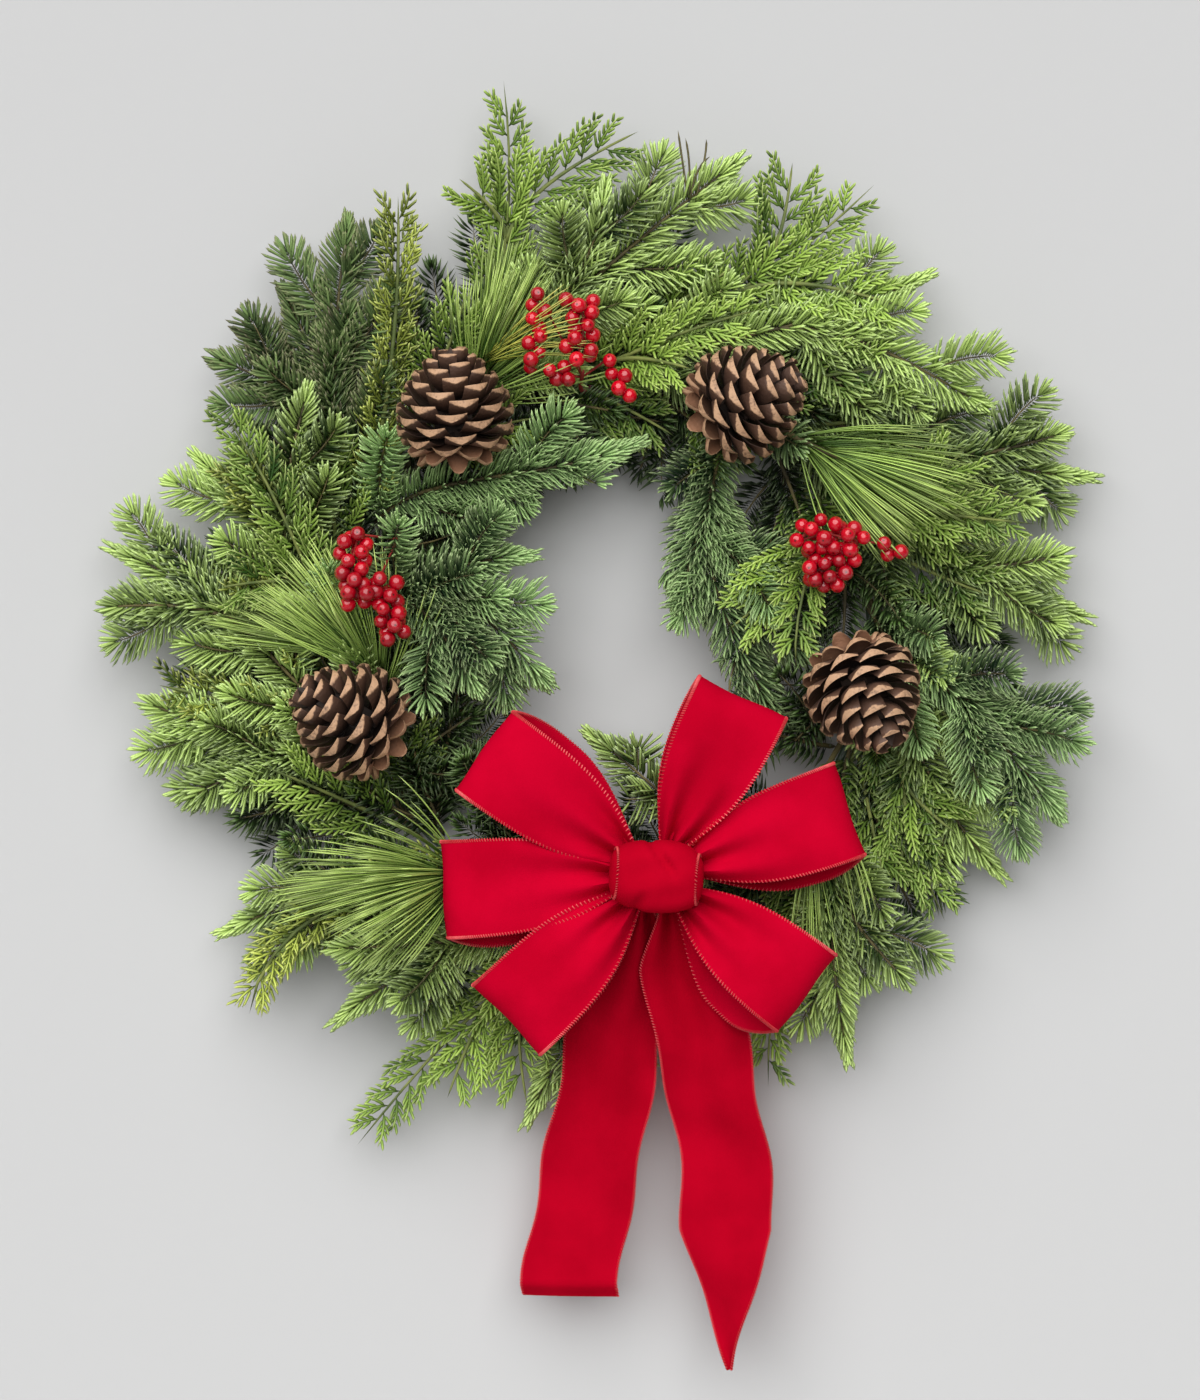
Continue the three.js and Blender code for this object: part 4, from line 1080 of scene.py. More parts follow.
@dataclass
class Bough:
    """A spray as it grows: the piece that takes it, its main stem and limbs, and its room."""

    skin: Skin
    stems: Shoots
    room: KeepOut

    def grow(self, kind: Kind, far: bool = False) -> list[str]:
        """Grows the spray.

        Args:
            kind: The spray's kind.
            far: Whether it lies behind the others, and as fir has fewer and wider needles.

        Returns:
            The finishes of the spray's leaves and wood.
        """
        growers = {Kind.CEDAR: self.cedar, Kind.JUNIPER: self.juniper, Kind.PINE: self.pine}
        if kind in growers:
            return growers[kind]()
        if far:
            return self.fir(FAR_NEEDLES, "fir_shaded")
        if kind is Kind.NOBLE:
            return self.fir(NOBLE_NEEDLES, "fir_silver")
        return self.fir(FIR_NEEDLES, "fir_dusky" if kind is Kind.DUSKY else "fir_green")

    def branch(self, parents: Shoots, branching: Branching, beyond: float) -> Shoots:
        """Side shoots that end where the free room does."""
        return self.room.trim(branching.grow(parents, self.skin.rng), beyond)

    def wood(self, shoots: Shoots, start: float, end: float) -> None:
        """Adds the bare wood of shoots, of a radius that falls from start to end."""
        widths = 2.0 * np.linspace(start, end, shoots.paths.shape[1])
        self.skin.add_slivers(shoots.paths, widths, FRONT, Section.TWIG, shoots.tones, 1)

    def fir(self, style: NeedleStyle, finish: str) -> list[str]:
        """Grows fir: side shoots on each stem, and needles on all.

        Args:
            style: Its needles.
            finish: The needles' finish.

        Returns:
            The finishes of the needles and the wood.
        """
        stems = self.room.trim(self.stems, 9.0, 0.6, False)
        sides = self.branch(stems, FIR_SHOOTS, 11.0)
        self.wood(stems, 1.9, 0.7)
        self.wood(sides, 0.9, 0.4)
        style.grow(self.skin, stems, self.room)
        style.grow(self.skin, sides, self.room)
        return [finish, "twig_bark"]

    def cedar(self) -> list[str]:
        """Grows cedar: flat fronds whose leaflets bear finer ones, as a fern's do.

        Returns:
            The finishes of the leaves and the wood.
        """
        stems = self.room.trim(self.stems, 3.0, 0.6, False)
        fronds = self.branch(stems, CEDAR_FRONDS, 2.0)
        self.wood(stems, 2.0, 0.7)
        self.leaflets(fronds, 2.1, Section.LEAFLET)
        fine = CEDAR_LEAFLETS.grow(fronds, self.skin.rng)
        self.leaflets(fine, 2.1, Section.LEAFLET, True)
        return ["cedar_green", "green_bark"]

    def juniper(self) -> list[str]:
        """Grows juniper: a full rope of fine upright cords on all sides of the stem.

        Returns:
            The finishes of the leaves and the wood.
        """
        ropes = self.branch(self.stems, JUNIPER_ROPES, 3.0)
        self.wood(self.stems, 2.4, 1.0)
        self.leaflets(ropes, 2.2, Section.THREAD)
        fine = JUNIPER_CORDS.grow(ropes, self.skin.rng)
        self.leaflets(fine, 2.4, Section.THREAD, True)
        return ["juniper_gold", "green_bark"]

    def leaflets(
        self, shoots: Shoots, width: float, section: Section, blunt: bool = False
    ) -> None:
        """Adds shoots as slivers of scale leaves, where the room is free.

        Formula: the width is full over the first half and falls to 0.6 of it near the tip.

        Args:
            shoots: The shoots.
            width: Their width.
            section: Their shape across.
            blunt: Whether they are straighter and blunt, as the last ones are.
        """
        middle = shoots.paths[:, shoots.paths.shape[1] // 2]
        free = self.room.clear(middle) & self.room.clear(shoots.paths[:, -1])
        paths = shoots.paths[free]
        if blunt:
            paths = paths[:, [0, 1, 4, 5]]
        taper = 1.0 - 0.4 * smooth_step(0.4, 1.0, np.linspace(0.0, 1.0, paths.shape[1]))
        self.skin.add_slivers(paths, width * taper, FRONT, section, shoots.tones[free])

    def pine(self) -> list[str]:
        """Grows a pine tuft: bundles of five long fine needles from the last stretch of the twig.

        Formula: a bundle's angle to the twig grows from 3 degrees at its tip to 48 a tuft's
        length back, its needles part by a few degrees, and their tips hang by a twentieth.

        Returns:
            The finishes of the needles and the wood.
        """
        bundles, each, tuft, width = 64, 5, 46.0, 1.15
        count = bundles * each
        rng = self.skin.rng

        def bundled(low: float, high: float) -> np.ndarray:
            """A random number for each bundle, given to all its needles."""
            return np.repeat(rng.uniform(low, high, bundles), each)

        self.wood(self.stems, 2.3, 1.8)
        back = bundled(0.0, 1.0)
        places = 1.0 - back * tuft / float(self.stems.lengths()[0])
        at, along = places_on(self.stems.paths, np.zeros(count, int), places)
        turn = bundled(-np.pi, np.pi) + rng.normal(0.0, 0.4, count)
        front = square_to(along, FRONT)
        out = turned(front * 0.45, np.cross(along, front), turn)
        share = bundled(0.3, 1.0)
        tilt = np.radians(3.0 + 45.0 * back**0.8 * share + rng.normal(0.0, 3.0, count))
        span = (bundled(74.0, 106.0) * rng.uniform(0.93, 1.05, count))[:, None]
        middle = at + unit(turned(along, out, tilt * 1.25)) * 0.5 * span
        tip = at + unit(turned(along, out, tilt)) * span - UP * 0.05 * span
        tip[:, 1] = np.minimum(tip[:, 1], -1.5)
        free = self.room.clear(middle) & self.room.clear(tip)
        paths = bent(at[free], middle[free], tip[free], np.linspace(0.0, 1.0, 7))
        tones = bundled(0.0, 0.9)[free] + rng.uniform(0.0, 0.1, len(paths))
        self.skin.add_slivers(paths, width, front[free], Section.THREAD, tones)
        return ["pine_green", "twig_bark"]


@dataclass(frozen=True)
class Spray:
    """A spray as it is set in the ring: its clamp, its seat, its tip and its limbs."""

    name: str
    kind: Kind
    clamp: float
    seat: Seat
    tip: Place
    heading: float
    lift: float
    limbs: tuple[tuple[float, float, float, float], ...] = ()

    def main_path(self) -> tuple[np.ndarray, float]:
        """The main stem: along its seat to its release, then a cubic Bezier curve to its tip.

        Returns:
            The path's points, and the share of it that is bare.
        """
        distance, turn = self.seat.value
        outward = distance * np.cos(np.radians(turn))
        forward = distance * np.sin(np.radians(turn))
        release = self.clamp - RELEASE_ANGLE
        angles = np.linspace(self.clamp + BUTT_ANGLE, release, 5)
        seat = np.array([ring_point(angle, outward, forward) for angle in angles])
        tip = np.array(self.tip)
        reach = np.linalg.norm(tip - seat[-1])
        leave = seat[-1] + tangent_at(release) * 0.3 * reach + FRONT * self.lift
        arrive = tip - outward_at(self.heading) * 0.38 * reach + FRONT * 0.5 * self.lift
        curve = bezier([seat[-1], leave, arrive, tip], 40)
        path = resample(np.vstack([seat, curve[1:]]), MAIN_STEPS)
        return path, (path_length(seat) + BARE_LENGTH) / path_length(path)

    def stems(self, rng: np.random.Generator) -> Shoots:
        """The main stem and its limbs.

        Args:
            rng: The piece's own random numbers.

        Returns:
            The stems.
        """
        main, bare = self.main_path()
        paths = [main]
        for share, *place in self.limbs:
            at, along = places_on(main[None], np.array([0]), np.array([share]))
            tip = np.array(place)
            leave = at[0] + along[0] * 0.3 * np.linalg.norm(tip - at[0])
            arrive = leave + (tip - leave) * 0.55 + FRONT * 6.0
            paths.append(resample(bezier([at[0], leave, arrive, tip], 30), MAIN_STEPS))
        tones = 0.5 + rng.uniform(-0.2, 0.2, len(paths))
        return Shoots(np.array(paths), np.array([bare] + [0.1] * len(self.limbs)), tones)


@dataclass(frozen=True)
class Cutting:
    """A short cutting of the filling: how it leaves the ring, and the clamps that hold one."""

    shift: float
    lean: float
    reach: float
    depth: float
    rise: float
    clamps: tuple[float, ...] = CLAMPS

    def path(self, angle: float, rng: np.random.Generator) -> np.ndarray:
        """The path of the cutting in one clamp.

        Formula: a quadratic Bezier curve from the ring that leaves at its lean from the ring's own
        direction, first level at its depth and then rising to the front.

        Args:
            angle: The clamp's angle.
            rng: The piece's own random numbers.

        Returns:
            The path's points.
        """
        start_angle = angle + self.shift + rng.uniform(-2.0, 2.0)
        start = ring_point(start_angle, 6.0 * np.sign(self.lean), 0.4 * self.depth)
        swing = np.radians(self.lean + rng.uniform(-6.0, 6.0))
        reach = self.reach * rng.uniform(0.8, 1.12)
        along = tangent_at(start_angle)
        heading = turned(along, outward_at(start_angle), swing)
        middle = start + heading * 0.5 * reach + along * 6.0
        middle[1] = -self.depth - 0.6 * (self.rise - self.depth)
        tip = start + heading * reach
        tip[1] = -self.rise
        return resample(bezier([start, middle, tip], 20), MAIN_STEPS)


class Foliage:
    """All sprays of the wreath, and the shorter cuttings that fill the band behind them."""

    def __init__(self, room: KeepOut) -> None:
        """Keeps the free room, and the tables of sprays and cuttings.

        Args:
            room: The spaces that stay free.
        """
        self.room = room
        inner, front, outer = Seat.INNER, Seat.FRONT, Seat.OUTER
        pine, cedar, juniper = Kind.PINE, Kind.CEDAR, Kind.JUNIPER
        fir, dusky, noble = Kind.FIR, Kind.DUSKY, Kind.NOBLE
        self.sprays = [
            Spray("pine_tuft_top", pine, 135, inner, (-74, -42, 192), 84, 20),
            Spray("pine_tuft_right", pine, 75, front, (166, -56, 112), -14, 14),
            Spray("pine_tuft_left", pine, 225, inner, (-172, -50, -10), 172, 8),
            Spray("pine_tuft_lower_left", pine, 255, front, (-124, -64, -160), 190, 10),
            Spray("pine_tuft_lower_right", pine, 345, inner, (136, -44, -140), -72, 24),
            Spray("cedar_top", cedar, 135, outer, (-67, -30, 366), 97, 16,
                  ((0.62, -96, -40, 300), (0.6, 22, -34, 332))),
            Spray("cedar_upper_right", cedar, 105, outer, (178, -34, 297), 45, 14,
                  ((0.62, 124, -30, 312), (0.58, 200, -44, 214))),
            Spray("cedar_front_top", cedar, 105, inner, (103, -66, 212), 14, 44, ((0.42, 56, -78, 172),)),
            Spray("cedar_right", cedar, 45, front, (284, -50, 72), -6, 36, ((0.5, 236, -62, 122),)),
            Spray("cedar_inner_right", cedar, 45, inner, (124, -84, -24), -84, 30, ((0.5, 80, -60, 2),)),
            Spray("cedar_lower_right", cedar, 15, outer, (225, -30, -190), -64, 16,
                  ((0.6, 232, -44, -132), (0.66, 190, -36, -176))),
            Spray("cedar_bottom_right", cedar, 345, outer, (108, -26, -300), -88, 14,
                  ((0.6, 76, -34, -262),)),
            Spray("cedar_bottom", cedar, 285, outer, (-164, -28, -338), 232, 16,
                  ((0.5, -104, -38, -306), (0.38, -44, -40, -346))),
            Spray("cedar_left", cedar, 195, front, (-254, -48, 152), 124, 40, ((0.4, -252, -66, 30),)),
            Spray("juniper_upper_left", juniper, 165, front, (-136, -48, 288), 92, 34),
            Spray("juniper_lower_left", juniper, 255, inner, (-234, -46, -250), 262, 42),
            Spray("fir_top", fir, 135, front, (0, -44, 294), 86, 26, ((0.5, 87, -32, 312),)),
            Spray("fir_upper_right", fir, 105, front, (210, -28, 236), 26, 30, ((0.62, 248, -34, 152),)),
            Spray("fir_right_upper", fir, 75, outer, (320, -24, 104), -4, 14, ((0.66, 300, -34, 132),)),
            Spray("fir_right", fir, 45, outer, (316, -22, 12), -18, 14, ((0.6, 300, -36, 52),)),
            Spray("fir_right_lower", noble, 15, inner, (302, -40, -72), -22, 38,
                  ((0.56, 298, -30, -118),)),
            Spray("fir_lower_right", fir, 15, front, (261, -22, -158), -46, 26),
            Spray("fir_bottom_right", fir, 345, front, (160, -34, -278), -78, 26,
                  ((0.5, 196, -44, -226),)),
            Spray("fir_bottom", fir, 315, outer, (-50, -24, -320), 248, 14, ((0.55, 22, -34, -290),)),
            Spray("fir_bottom_left", fir, 285, front, (-175, -44, -254), 222, 30,
                  ((0.5, -176, -56, -206),)),
            Spray("fir_lower_left", fir, 255, outer, (-250, -24, -196), 206, 14,
                  ((0.6, -208, -34, -214),)),
            Spray("fir_left_lower", fir, 225, outer, (-290, -24, -78), 188, 14,
                  ((0.55, -272, -34, -108), (0.5, -300, -40, -46))),
            Spray("fir_left", fir, 225, front, (-324, -34, 56), 160, 30, ((0.66, -326, -42, 18),)),
            Spray("fir_left_upper", fir, 195, outer, (-268, -26, 116), 138, 14,
                  ((0.5, -196, -48, 158),)),
            Spray("fir_upper_left", dusky, 165, outer, (-212, -26, 226), 116, 14,
                  ((0.45, -256, -34, 182), (0.5, -170, -36, 270))),
            Spray("fir_inner_left", noble, 195, inner, (-32, -64, 50), -6, 46,
                  ((0.55, -40, -52, -30), (0.48, -84, -74, -34))),
            Spray("fir_inner_top", noble, 165, inner, (20, -58, 124), 24, 40, ((0.62, -30, -44, 88),)),
            Spray("fir_inner_right", noble, 75, inner, (46, -48, -6), -92, 34,
                  ((0.5, 106, -40, 20), (0.56, 112, -34, -56))),
            Spray("fir_inner_bottom", fir, 315, inner, (-22, -40, -58), 150, 30),
        ]
        leafy = (15.0, 45.0, 75.0, 105.0, 285.0, 315.0, 345.0)
        self.cuttings = {
            Kind.FIR: [
                Cutting(-12.0, 44.0, 118.0, 8.0, 14.0),
                Cutting(-7.0, 62.0, 96.0, 10.0, 16.0),
                Cutting(-2.0, 24.0, 124.0, 14.0, 30.0),
                Cutting(3.0, -50.0, 74.0, 10.0, 14.0),
                Cutting(8.0, -30.0, 88.0, 18.0, 34.0),
                Cutting(-5.0, -72.0, 96.0, 12.0, 22.0, (165.0, 195.0, 225.0, 255.0)),
                Cutting(5.0, -64.0, 106.0, 22.0, 40.0, (195.0, 225.0, 255.0)),
                Cutting(-10.0, -84.0, 88.0, 26.0, 44.0, (225.0, 255.0, 345.0)),
                Cutting(2.0, -86.0, 86.0, 8.0, 18.0, (75.0, 105.0, 135.0)),
            ],
            Kind.CEDAR: [
                Cutting(4.0, 48.0, 112.0, 20.0, 36.0, leafy),
                Cutting(-10.0, 30.0, 116.0, 26.0, 44.0, leafy),
                Cutting(0.0, 20.0, 100.0, 30.0, 50.0, (135.0, 165.0, 225.0, 255.0)),
                Cutting(-4.0, -36.0, 80.0, 24.0, 44.0, (45.0, 75.0, 105.0, 135.0, 225.0)),
            ],
            Kind.JUNIPER: [
                Cutting(6.0, 52.0, 130.0, 24.0, 44.0, (165.0, 195.0)),
                Cutting(-6.0, 34.0, 120.0, 26.0, 48.0, (195.0, 255.0)),
            ],
        }

    def build(self) -> None:
        """Builds each spray as the piece that stands for its solid, then the filling."""
        for spray in self.sprays:
            skin = Skin(rng_of(spray.name))
            finishes = Bough(skin, spray.stems(skin.rng), self.room).grow(spray.kind)
            skin.build(f"{spray.name}_boughs", finishes, spray.name.split("_")[0], spray.name)
        for place, angle in enumerate(CLAMPS):
            for kind, cuttings in self.cuttings.items():
                chosen = [cutting for cutting in cuttings if angle in cutting.clamps]
                if chosen:
                    self.build_cuttings(place, kind, chosen)

    def build_cuttings(self, place: int, kind: Kind, chosen: list[Cutting]) -> None:
        """Builds the cuttings of one kind in one clamp, as one piece.

        Args:
            place: The clamp's place in CLAMPS.
            kind: Their kind.
            chosen: The cuttings.
        """
        skin = Skin(rng_of(kind.value, 900 + place))
        paths = np.array([cutting.path(CLAMPS[place], skin.rng) for cutting in chosen])
        tones = skin.rng.uniform(0.2, 0.6, len(paths))
        stems = Shoots(paths, np.full(len(paths), 0.08), tones)
        finishes = Bough(skin, stems, self.room).grow(kind, far=True)
        skin.build(f"{kind.value}_cuttings_{place + 1}", finishes, kind.value)


@dataclass(frozen=True)
class Strays:
    """Fine needles or twigs that stand apart: their foot, and the first and last of their tips."""

    name: str
    finish: str
    foot: Place
    first: Place
    last: Place
    count: int
    width: float
    bend: float

    def build(self) -> None:
        """Builds them as slivers on quadratic curves, whose middles stand off by bend."""
        skin = Skin(rng_of(self.name))
        share = np.linspace(0.0, 1.0, self.count)[:, None]
        loose = skin.rng.uniform(-1.0, 1.0, (3, self.count, 3))
        start = np.array(self.foot) + 3.0 * loose[0]
        tip = np.array(self.first) * (1.0 - share) + np.array(self.last) * share + 4.0 * loose[1]
        middle = 0.5 * (start + tip) + self.bend * (UP + 0.6 * loose[2])
        paths = bent(start, middle, tip, np.linspace(0.0, 1.0, 8))
        tones = skin.rng.uniform(0.1, 1.0, self.count)
        skin.add_slivers(paths, self.width, FRONT, Section.THREAD, tones)
        skin.build(self.name, [self.finish], self.name.split("_")[0])


@dataclass
class Cone:
    """A pine cone: its middle, the direction of its tip, and its scales' count and width."""

    name: str
    at: Place
    tip: Place
    scales: int = 72
    width: float = 20.5
    room: float = 35.0
    tip_room: float = 8.0

    def profile(self, share: np.ndarray) -> np.ndarray:
        """The cone's outer radius: CONE_RADIUS sin(pi (0.17 + 0.8 share))^0.75."""
        return CONE_RADIUS * np.sin(np.pi * (0.17 + 0.8 * share)) ** 0.75

    def rod(self) -> Rod:
        """The space that the cone fills.

        Returns:
            A rod along its axis.
        """
        axis = unit(np.array(self.tip))
        half = CONE_LENGTH / 2 - CONE_RADIUS
        centre = np.array(self.at)
        start = tuple(centre - half * axis)
        return Rod(start, tuple(centre + (half + self.tip_room) * axis), self.room)

    def build(self) -> None:
        """Builds the cone's scales round its core.

        Formula: scale i stands at 137.5 i degrees round the axis, and its end lies on the outer
        profile. At u along it and v across it, its upper face stands at -4 sin(pi u) + 1.4 v^2 u
        and its lower face at t(u) (1 - |v|^1.3) below, where t grows to a thick blunt end. Near
        the cone's foot the ends are thin and round, and point back. The core is a dark sliver of
        0.36 of the outer radius.
        """
        skin = Skin(rng_of(self.name))
        count = self.scales
        axis = unit(np.array(self.tip))
        first = square_to(axis, np.array([0.0, -1.0, 0.001]))
        order = np.arange(count)
        share = ((order + 0.5) / count) ** 0.9
        turn = order * GOLDEN_ANGLE + skin.rng.uniform(-0.06, 0.06, count)
        out = turned(first, np.cross(axis, first), turn)
        side = np.cross(axis, out)
        tilt = np.interp(share, [0.0, 0.08, 0.2, 0.34, 0.7, 1.0], [-58, -40, -14, 8, 34, 76])
        tilt = np.radians(tilt + skin.rng.uniform(-5.0, 5.0, count))
        radius = self.profile(np.clip(share, 0.0, 0.97))
        height = CONE_LENGTH * (0.88 * share - 0.45)
        reach = np.clip((0.76 * radius) / np.cos(np.clip(tilt, -1.0, 0.9)), 10.0, 32.0)
        heading = turned(out, axis, tilt)
        lift = -out * np.sin(tilt)[:, None] + axis * np.cos(tilt)[:, None]
        end = np.array(self.at) + out * radius[:, None] + axis * height[:, None]
        root = end - heading * reach[:, None]
        foot = 1.0 - smooth_step(0.1, 0.3, share)
        tones = np.clip(0.85 * foot + skin.rng.uniform(0.0, 0.15, count), 0.0, 1.0)
        size = 0.42 + 0.58 * radius / CONE_RADIUS
        foot, size, reach = (values[:, None, None] for values in (foot, size, reach))
        root, heading, side, lift = (axes[:, None, None] for axes in (root, heading, side, lift))
        u = np.array([0.0, 0.22, 0.44, 0.64, 0.8, 0.92, 1.0])[None, :, None]
        v = np.linspace(-1.0, 1.0, 7)[None, None, :]
        grow = 0.36 + 0.64 * np.sin(0.5 * np.pi * np.minimum(1.0, u / (0.82 - 0.2 * foot)))
        half = 0.5 * self.width * size * grow
        run = reach * u * (1.0 - (0.08 + 0.34 * foot) * np.abs(v) ** 2.6 * u**2)
        arch = (reach / 30.0) * (-4.0 * np.sin(np.pi * u)) + 1.4 * v**2 * u
        thick = 0.8 + 0.8 * u + (2.8 - 1.8 * foot) * smooth_step(0.55, 1.0, u)
        below = size * thick * (1.0 - np.abs(v) ** (1.3 + 1.7 * foot)) + 0.4
        flat = root + heading * run[..., None] + side * (half * v)[..., None]
        upper = flat + lift * arch[..., None]
        lower = flat + lift * (arch - below)[..., None]
        lower -= heading * (0.25 * below * u**6)[..., None]
        skin.add_shells(lower, upper, tones, u.ravel(), 30.0)
        core = np.linspace(0.0, 1.0, 9)
        path = np.array(self.at) + np.outer((core - 0.5) * 0.84 * CONE_LENGTH, axis)
        skin.add_slivers(path[None], 0.72 * self.profile(core), FRONT + 0.01, Section.TWIG, 0.4, 1)
        skin.build(f"{self.name}_scales", ["cone_scales", "cone_core"], "cone", self.name, True)


@dataclass
class Strand:
    """A run of berries: a path, how many berries are on it, and how far they stand out."""

    points: tuple[Place, ...]
    count: int
    spread: float


@dataclass
class BerrySpray:
    """A spray of berries: the stem from the ring, and the strands at its end."""

    name: str
    angle: float
    stem: tuple[Place, ...]
    strands: tuple[Strand, ...]
    radius: float = 4.9
    room: float = 3.0

    def rods(self) -> list[Rod]:
        """The space that the berries fill.

        Returns:
            A rod for each stretch of each strand.
        """
        return [
            Rod(start, end, strand.spread + self.room)
            for strand in self.strands
            for start, end in zip(strand.points[:-1], strand.points[1:])
        ]

    def centres(self, rng: np.random.Generator) -> tuple[np.ndarray, np.ndarray]:
        """Places the berries round their strands, and pushes them apart until none overlap.

        Args:
            rng: The piece's own random numbers.

        Returns:
            The berries' centres, and where their stalks leave the strands.
        """
        feet = []
        middles = []
        for strand in self.strands:
            path = smooth_path(strand.points, 24)[None]
            order = np.arange(strand.count)
            at, along = places_on(path, 0 * order, (order + 0.5) / strand.count)
            front = square_to(along, FRONT)
            turn = order * GOLDEN_ANGLE
            out = front * (0.75 * np.cos(turn) + 0.25)[:, None]
            out = out + np.cross(along, front) * np.sin(turn)[:, None]
            reach = strand.spread * rng.uniform(0.55, 1.0, strand.count)
            feet.append(at)
            middles.append(at + out * reach[:, None])
        centres = np.concatenate(middles)
        apart = 1.9 * self.radius
        for _ in range(60):
            gaps = centres[:, None] - centres[None]
            distance = np.linalg.norm(gaps, axis=-1) + 1e3 * np.eye(len(centres))
            push = np.clip(apart - distance, 0.0, None)[..., None] * gaps / distance[..., None]
            centres = centres + 0.35 * push.sum(axis=1)
        return centres, np.concatenate(feet)

    def add_berries(self, skin: Skin, centres: np.ndarray, feet: np.ndarray) -> None:
        """Adds the berries as closed balls with a dimple and a small crown at the far end.

        Formula: at the angle p from the stalk the radius is r (1 - 0.12 exp(-((p - pi) / 0.3)^2)
        + 0.06 exp(-((p - 2.8) / 0.1)^2)).

        Args:
            skin: The piece that takes them.
            centres: The berries' centres.
            feet: Where their stalks leave the strands.
        """
        count = len(centres)
        axis = unit(centres - feet + skin.rng.uniform(-0.6, 0.6, (count, 3)) + 1e-3)
        first = square_to(axis, UP + 0.01)
        angles = np.linspace(0.0, np.pi, 13)[1:-1]
        spin = np.linspace(0.0, 2 * np.pi, 17)[:-1]
        bulge = 1.0 - 0.12 * np.exp(-(((angles - np.pi) / 0.3) ** 2))
        bulge += 0.06 * np.exp(-(((angles - 2.8) / 0.1) ** 2))
        size = self.radius * skin.rng.uniform(0.9, 1.08, count)
        around = turned(first[:, None, None], np.cross(axis, first)[:, None, None], spin)
        out = turned(-axis[:, None, None], around, angles[None, :, None])
        rings = centres[:, None, None] + (size[:, None] * bulge)[:, :, None, None] * out
        ends = (centres - axis * size[:, None], centres + axis * (0.86 * size)[:, None])
        marks = np.zeros((count, len(angles) + 2, 3))
        marks[..., 0] = skin.rng.uniform(0.0, 1.0, count)[:, None]
        marks[..., 1] = np.concatenate([[0.0], angles / np.pi, [1.0]])
        skin.add_closed(rings, ends, marks)

    def build(self) -> None:
        """Builds the stem, the strands, the stalks and the berries."""
        skin = Skin(rng_of(self.name))
        centres, feet = self.centres(skin.rng)
        self.add_berries(skin, centres, feet)
        stem = smooth_path((ring_point(self.angle, -3.85), *self.stem), MAIN_STEPS)
        skin.add_slivers(stem[None], 3.0, FRONT + 0.01, Section.TWIG, 0.5, 1)
        for strand in self.strands:
            path = np.vstack([stem[-3], smooth_path(strand.points, MAIN_STEPS)])
            path = resample(path, MAIN_STEPS)[None]
            skin.add_slivers(path, 1.7, FRONT + 0.01, Section.TWIG, 0.5, 1)
        part = np.linspace(0.0, 1.0, 4)[None, :, None]
        sag = np.sin(np.pi * part) * FRONT * 1.5
        stalks = feet[:, None] * (1 - part) + centres[:, None] * part + sag
        tones = skin.rng.uniform(0.2, 0.8, len(stalks))
        skin.add_slivers(stalks, 1.1, UP + 0.02, Section.THREAD, tones, 1)
        skin.build(f"{self.name}_cluster", ["berry_skin", "berry_stalk"], "berry", self.name)


@dataclass
class Ribbon:
    """A stretch of velvet ribbon with overlocked edges, over a grid of its middle surface."""

    side: str
    part: ClassVar[str]
    held: ClassVar[str]
    pile: ClassVar[str]
    thickness: ClassVar[float] = 0.9
    stitch_every: ClassVar[float] = 1.9
    stitch_reach: ClassVar[float] = 1.75

    def middle(self) -> np.ndarray:
        """The points of the middle surface, row by row along the ribbon."""
        raise NotImplementedError

    def add_edge(self, skin: Skin, edge: np.ndarray, inner: np.ndarray, normals: np.ndarray) -> None:
        """Adds the stitches over one edge.

        Formula: a stitch runs from reach in from the edge on the front, over the edge, to the
        same place on the back, and leans forwards along the edge by half a stitch.

        Args:
            skin: The ribbon's piece.
            edge: Points along the edge.
            inner: Points of the next row in.
            normals: The ribbon's normals along the edge.
        """
        count = max(8, int(path_length(edge) / self.stitch_every))
        share = (np.arange(count) + 0.5) / count
        zeros = np.zeros(count, int)
        places, along = places_on(edge[None], zeros, share)
        within = places_on(inner[None], zeros, share)[0]
        normal = unit(places_on(normals[None], zeros, share)[0])
        inwards = square_to(along, within - places)
        reach, lift = self.stitch_reach, 0.5 * self.thickness + 0.12
        lean = along * 0.5 * self.stitch_every
        paths = [
            places + inwards * reach + normal * (lift - 0.2),
            places + inwards * 0.75 * reach + normal * (lift + 0.18) + 0.3 * lean,
            places + inwards * 0.1 + normal * (lift + 0.15) + 0.8 * lean,
            places - inwards * 0.5 + lean,
            places + inwards * 0.1 - normal * (lift + 0.15) + 0.8 * lean,
            places + inwards * reach - normal * (lift - 0.2),
        ]
        tones = rng_of(f"{self.part}_{self.side}_ribbon").uniform(0.0, 1.0, count)
        skin.add_slivers(np.stack(paths, axis=1), 0.85, along, Section.THREAD, tones, 1)

    def build(self) -> None:
        """Builds the ribbon as a thin closed shell with its stitches."""
        name = f"{self.part}_{self.side}_ribbon"
        skin = Skin(rng_of(name))
        middle = self.middle()
        length = path_length(middle[:, middle.shape[1] // 2])
        normals = unit(np.cross(np.gradient(middle, axis=0), np.gradient(middle, axis=1)))
        shift = 0.5 * self.thickness * normals
        shares = np.linspace(0.0, 1.0, len(middle))
        skin.add_shells((middle + shift)[None], (middle - shift)[None], 0.5, shares, length)
        self.add_edge(skin, middle[:, 0], middle[:, 1], normals[:, 0])
        self.add_edge(skin, middle[::-1, -1], middle[::-1, -2], normals[::-1, -1])
        node = f"bow_{self.part}_{self.side}"
        piece = skin.build(name, [self.pile, "edge_thread"], "velvet", node, True)


